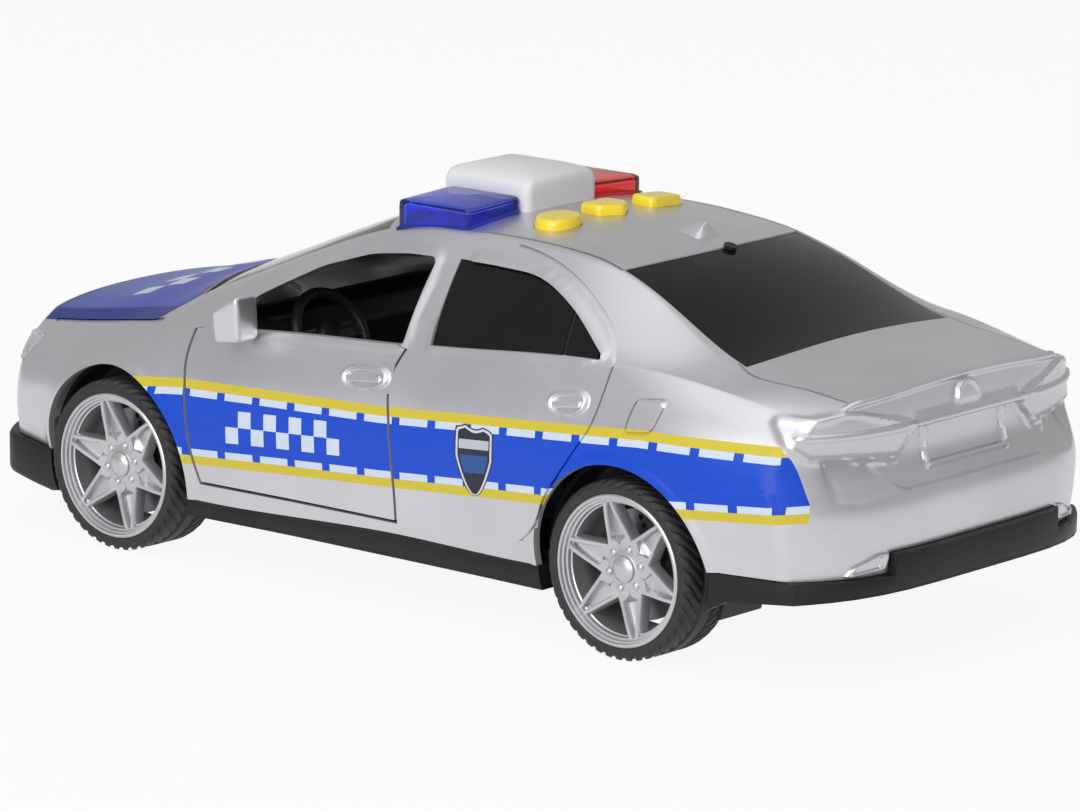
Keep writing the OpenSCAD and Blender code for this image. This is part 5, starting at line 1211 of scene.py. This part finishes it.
class PATROLCAR_OT_lamps(bpy.types.Operator):
    """Builds the light bar's blue, white and red lenses"""
    bl_idname = "patrolcar.lamps"
    bl_label = "Light bar"

    def execute(self, context):
        floor = over_roof(BAR_SINK)
        for hand, name in ((1, "blue"), (-1, "red")):
            outline, flange, hollow = (
                oblong(LENS_FRONT + out, LENS_REAR - out, LENS_NEAR + into, LENS_FAR + out, turn) * [1, hand]
                for out, into, turn in ((0, 0, 1.6), (LENS_FLANGE, 0, 1.8), (-LENS_WALL, LENS_WALL, 1.2)))
            lens = make_piece(name + "_cover", cushion(outline, LENS_EDGE, floor, lens_top), FINISH[name])
            carve(lens, cushion(flange, SOFT_EDGE, floor, over_roof(FLANGE_RISE)), "UNION")
            ceiling = partial(lens_top, drop=LENS_WALL)
            carve(lens, cushion(hollow, LENS_EDGE, over_roof(HOLLOW_SINK), ceiling))
            soften(lens)
            near, far = sorted((LENS_NEAR * hand, LENS_FAR * hand))
            # The edge field puts painted shade along the lens's box edges.
            mark_edge_shade(lens, (LENS_REAR, near, LENS_BOX_Z[0]), (LENS_FRONT, far, LENS_BOX_Z[1]))
            settle(lens, "car_body", name + "_lens", name + "_lens")
        outline = oblong(COVER_FRONT, COVER_REAR, -COVER_HALF, COVER_HALF, 2.4)
        cover = make_piece("white_cover", cushion(outline, COVER_EDGE, floor, cover_top), FINISH["white"])
        settle(cover, "car_body", "white_lens", "white_lens")
        return {"FINISHED"}


class PATROLCAR_OT_buttons(bpy.types.Operator):
    """Builds the three roof buttons"""
    bl_idname = "patrolcar.buttons"
    bl_label = "Roof buttons"

    def execute(self, context):
        for name, outline in button_outlines().items():
            pad = cushion(outline, SOFT_EDGE, over_roof(BUTTON_SINK), over_roof(BUTTON_RISE))
            cap = make_piece(name + "_cap", pad, FINISH["button"])
            settle(cap, name + "_push", "button_yellow", name + "_button")
        return {"FINISHED"}


# Wheels. Sections are pairs of radius and offset; a tyre's side is given inwards from its corner.

TYRE_SIDE = [(3.5, 1.2), (3.1, .25), (2.4, 0), (1.3, .1), (.6, .55), (.15, 1.3), (0, 2.1)]
TYRE_TURNS, TYRE_SIDE_POINTS, TREAD_POINTS = 504, 26, 40
BLOCKS, BLOCK_SLANT, BLOCK_DEEP = 42, .35, .55
RING_Y, RING_DEEP = 2.3, .75
LIP = [(17.7, 7.2), (17.75, 8.2), (17.4, 8.45), (16.9, 8.4), (16.75, 7.7), (16.3, 7.6), (16.15, 6.9),
       (15.7, 6.8), (15.5, 6.0), (15.2, 5.8), (15.0, -6.9), (17.0, -7.9),
       (17.6, -7.7), (17.3, -6.8), (17.3, 6.8)]
HUB = [(0, 7.1), (1.2, 7.0), (2.3, 6.7), (3.0, 6.2), (3.2, 5.6), (3.6, 5.4), (5.6, 5.3), (6.4, 5.0),
       (6.9, 4.2), (7.0, 1.0), (2.0, -1.0), (2.0, -7.5), (0, -7.5)]
BOLT = [(0, 6.0), (.5, 5.95), (.8, 5.7), (.85, 5.0), (0, 5.0)]
BOLT_RING = 4.75
SPOKE_SPAN, SPOKE_END, SPOKE_BAR, SPOKE_DEEP = (4.6, 15.9, 26), 15.6, 1.2, 3.2


def tyre_shape(sizes, hand, x):
    """A tyre: a rounded section turned round the axle, its tread cut by slanted grooves and two rings."""
    r, w = sizes.tyre_d / MM / 2, sizes.tyre_w / MM / 2
    side = np.array([r, w]) - TYRE_SIDE
    t = np.arange(len(side))
    fine = np.linspace(0, len(side) - 1, TYRE_SIDE_POINTS)
    side_r, side_w = (smooth(fine, np.stack([t, side[:, k]], -1)) for k in (0, 1))
    tread = np.linspace(side[-1, 1], -side[-1, 1], TREAD_POINTS)[1:-1]
    radius = np.concatenate([side_r, np.full(len(tread), r), side_r[::-1]])
    offset = np.concatenate([side_w, tread, -side_w[::-1]])
    turn = np.linspace(0, 2 * math.pi, TYRE_TURNS, endpoint=False)[:, None]
    off = np.abs(offset)
    phase = (turn * BLOCKS / (2 * math.pi) + BLOCK_SLANT * off) % 1.0
    across = ease(off, 2.2, 2.9) * ease(radius, r - 1.6, r - .5)
    cut = BLOCK_DEEP * across * fade(np.abs(phase - .5), .14, .26)
    ring = RING_DEEP * fade(np.abs(off - RING_Y), .35, .75) * (radius > r - .2)
    return revolve(radius - np.maximum(cut, ring), offset, TYRE_TURNS, hand, x)


def spoke_shape(sizes, hand, x):
    """Twin spokes: two flat bars with a sunk web between them, narrowing to the rim, repeated round it."""
    r = np.linspace(*SPOKE_SPAN)[:, None]
    narrow = .32 + 2.05 * np.clip((SPOKE_END - r) / 9.0, 0, 1.15)
    gap, wide = narrow * ease(r, 6.0, 7.6), narrow + SPOKE_BAR
    face = 5.4 + 1.55 * ease(r, 5.0, SPOKE_END)
    web = face - 1.9 * ease(r, 6.0, 8.0)
    half_t = [gap - .1, gap, gap + .2, wide - .25, wide, wide + .25]
    half_off = [web, face - .3, face, face, face - .35, face - SPOKE_DEEP]
    t = np.concatenate([-v for v in half_t[::-1]] + half_t, 1)
    off = np.concatenate(half_off[::-1] + half_off, 1)
    out = []
    for k in range(sizes.spokes):
        a = 2 * math.pi * (k + .25) / sizes.spokes
        px = x + r * math.cos(a) - t * math.sin(a)
        pz = AXLE_Z + r * math.sin(a) + t * math.cos(a)
        out.append(tube(np.stack([px, hand * (WHEEL_Y + off), pz], -1)))
    return gather(*out)


class PATROLCAR_OT_wheels(bpy.types.Operator):
    """Builds the four tyres and the four wheels"""
    bl_idname = "patrolcar.wheels"
    bl_label = "Wheels"

    def execute(self, context):
        sizes = context.scene.car_sizes
        lip, hub, bolt = (np.array(section, float).T for section in (LIP, HUB, BOLT))
        for end, x in AXLE_X.items():
            for hand, side in SIDES:
                name = f"{end}_{side}"
                tyre = make_piece(name + "_rubber", tyre_shape(sizes, hand, x), FINISH["tyre"], sharp=50)
                settle(tyre, end + "_wheels", "tyre", name + "_tyre")
                parts = [revolve(*lip, 128, hand, x), revolve(*hub, 64, hand, x, closed=False),
                         spoke_shape(sizes, hand, x)]
                for k in range(sizes.spokes):
                    a = 2 * math.pi * (k + .75) / sizes.spokes
                    parts.append(revolve(*bolt, 16, hand, x + BOLT_RING * math.cos(a),
                                         AXLE_Z + BOLT_RING * math.sin(a), False))
                wheel = make_piece(name + "_wheel", gather(*parts), FINISH["rim"])
                settle(wheel, end + "_wheels", "rim_silver", name + "_rim")
        return {"FINISHED"}


class PATROLCAR_OT_mouldings(bpy.types.Operator):
    """Dresses the black underbody and the cabin"""
    bl_idname = "patrolcar.mouldings"
    bl_label = "Mouldings and cabin"

    def execute(self, context):
        chassis = dress("chassis", FINISH["black"], "black_plastic")
        carve(chassis, prism(np.array(CHIN), -SIDE_OUT, SIDE_OUT), material=FINISH["black"])
        soften(chassis, sharp=9)
        for node in ("seat_tub", "dashboard", "steering_wheel"):
            dress(node, FINISH["cabin"], "cabin_plastic")
        return {"FINISHED"}


# The stage. Each lamp has its place in metres, its size and its power.

FLOOR_SPAN, FLOOR_GREY = 8000.0, (.88, .88, .88)
LAMPS = {"overhead": ((-.1, .3, 1.4), 1.8, 7.5), "key": ((-.45, 1.5, .75), 1.5, 20.0)}
CAMERA_TARGET, SENSOR_W, CLIP_END = (-4.61, 0, 39.33), 36.0, 50.0


def in_view(wire, share=1.0):
    """1 for rays from the camera and through glass and the share for rays off gloss: they see the sky."""
    camera, gloss, glass = (wire.make("ShaderNodeLightPath", out=f"Is {kind} Ray")
                            for kind in ("Camera", "Glossy", "Transmission"))
    return wire.math("MINIMUM", camera + gloss * share + glass, 1.0)


def aim(name, data, spot, back, hint, roll=0.0):
    """Links a lamp or camera at a spot that looks against back, its right square to the hint, then rolled."""
    right = np.cross(hint, back)
    right /= np.linalg.norm(right)
    up = np.cross(back, right)
    c, d = math.cos(roll), math.sin(roll)
    matrix = np.eye(4)
    matrix[:3] = np.stack([right * c + up * d, up * c - right * d, back, spot], 1)
    obj = bpy.data.objects.new(name, data)
    obj.matrix_world = Matrix(matrix.tolist())
    bpy.context.scene.collection.objects.link(obj)
    return obj


class PATROLCAR_OT_stage(bpy.types.Operator):
    """Sets the pale floor, the soft light and the camera"""
    bl_idname = "patrolcar.stage"
    bl_label = "Stage"

    def execute(self, context):
        scene, look = context.scene, context.scene.car_stage
        scene.view_settings.view_transform = "Standard"
        mat, node, wire = new_finish("floor", FLOOR_GREY, .8)
        glow = wire.make("ShaderNodeEmission", {"Color": (1, 1, 1, 1), "Strength": 1.0})
        grey = Wire(wire.tree, node.outputs[0])
        seen = wire.make("ShaderNodeMixShader", {0: in_view(wire) * look.white, 1: grey, 2: glow})
        feed(seen, mat.node_tree.nodes["Material Output"], "Surface")
        corners = FLOOR_SPAN * np.array([(-1, -1, 0), (1, -1, 0), (1, 1, 0), (-1, 1, 0)])
        floor = make_piece("floor", (corners, [[0, 1, 2, 3]]), mat)
        scene.world = bpy.data.worlds.new("soft_light")
        scene.world.use_nodes = True
        sky = scene.world.node_tree.nodes["Background"]
        sky.inputs["Color"].default_value = (1, 1, 1, 1)
        light = in_view(Wire(scene.world.node_tree), look.gloss) * (1 - look.world) + look.world
        feed(light, sky, "Strength")
        for name, (spot, size, power) in LAMPS.items():
            lamp = bpy.data.lights.new(name, "AREA")
            lamp.energy, lamp.size = power, size
            aim(name, lamp, spot, np.array(spot) / np.linalg.norm(spot), (0, 1, 0))
        turn, rise = look.azimuth, look.rise
        back = np.array([math.sin(turn) * math.cos(rise), -math.cos(turn) * math.cos(rise), math.sin(rise)])
        camera = bpy.data.cameras.new("camera")
        camera.lens, camera.clip_end = look.lens, CLIP_END
        camera.sensor_width, camera.sensor_fit = SENSOR_W, "HORIZONTAL"
        spot = np.array(CAMERA_TARGET) * MM + back * look.distance
        scene.camera = aim("camera", camera, spot, back, (0, 0, 1), look.roll)
        return {"FINISHED"}


STEPS = ("finishes", "shell", "fittings", "glazing", "lamps", "buttons", "wheels", "mouldings", "stage")
GROUPS = {"car_sizes": CarSizes, "car_colours": CarColours, "car_stage": CarStage}


class PATROLCAR_PT_panel(bpy.types.Panel):
    """Lists the pieces in the sidebar"""
    bl_idname = "PATROLCAR_PT_panel"
    bl_label = "Patrol car"
    bl_space_type = "VIEW_3D"
    bl_region_type = "UI"
    bl_category = "Patrol car"

    def draw(self, context):
        for name in GROUPS:
            group = getattr(context.scene, name)
            for key in group.__annotations__:
                self.layout.prop(group, key)
        for step in STEPS:
            self.layout.operator("patrolcar." + step)


CLASSES = (*GROUPS.values(), PATROLCAR_OT_finishes, PATROLCAR_OT_shell, PATROLCAR_OT_fittings,
           PATROLCAR_OT_glazing, PATROLCAR_OT_lamps, PATROLCAR_OT_buttons, PATROLCAR_OT_wheels,
           PATROLCAR_OT_mouldings, PATROLCAR_OT_stage, PATROLCAR_PT_panel)


def register():
    for cls in CLASSES:
        bpy.utils.register_class(cls)
    for name, group in GROUPS.items():
        setattr(bpy.types.Scene, name, bpy.props.PointerProperty(type=group))


def unregister():
    for name in GROUPS:
        delattr(bpy.types.Scene, name)
    for cls in reversed(CLASSES):
        bpy.utils.unregister_class(cls)


def main():
    register()
    for step in STEPS:
        getattr(bpy.ops.patrolcar, step)()


if __name__ == "__main__":
    main()
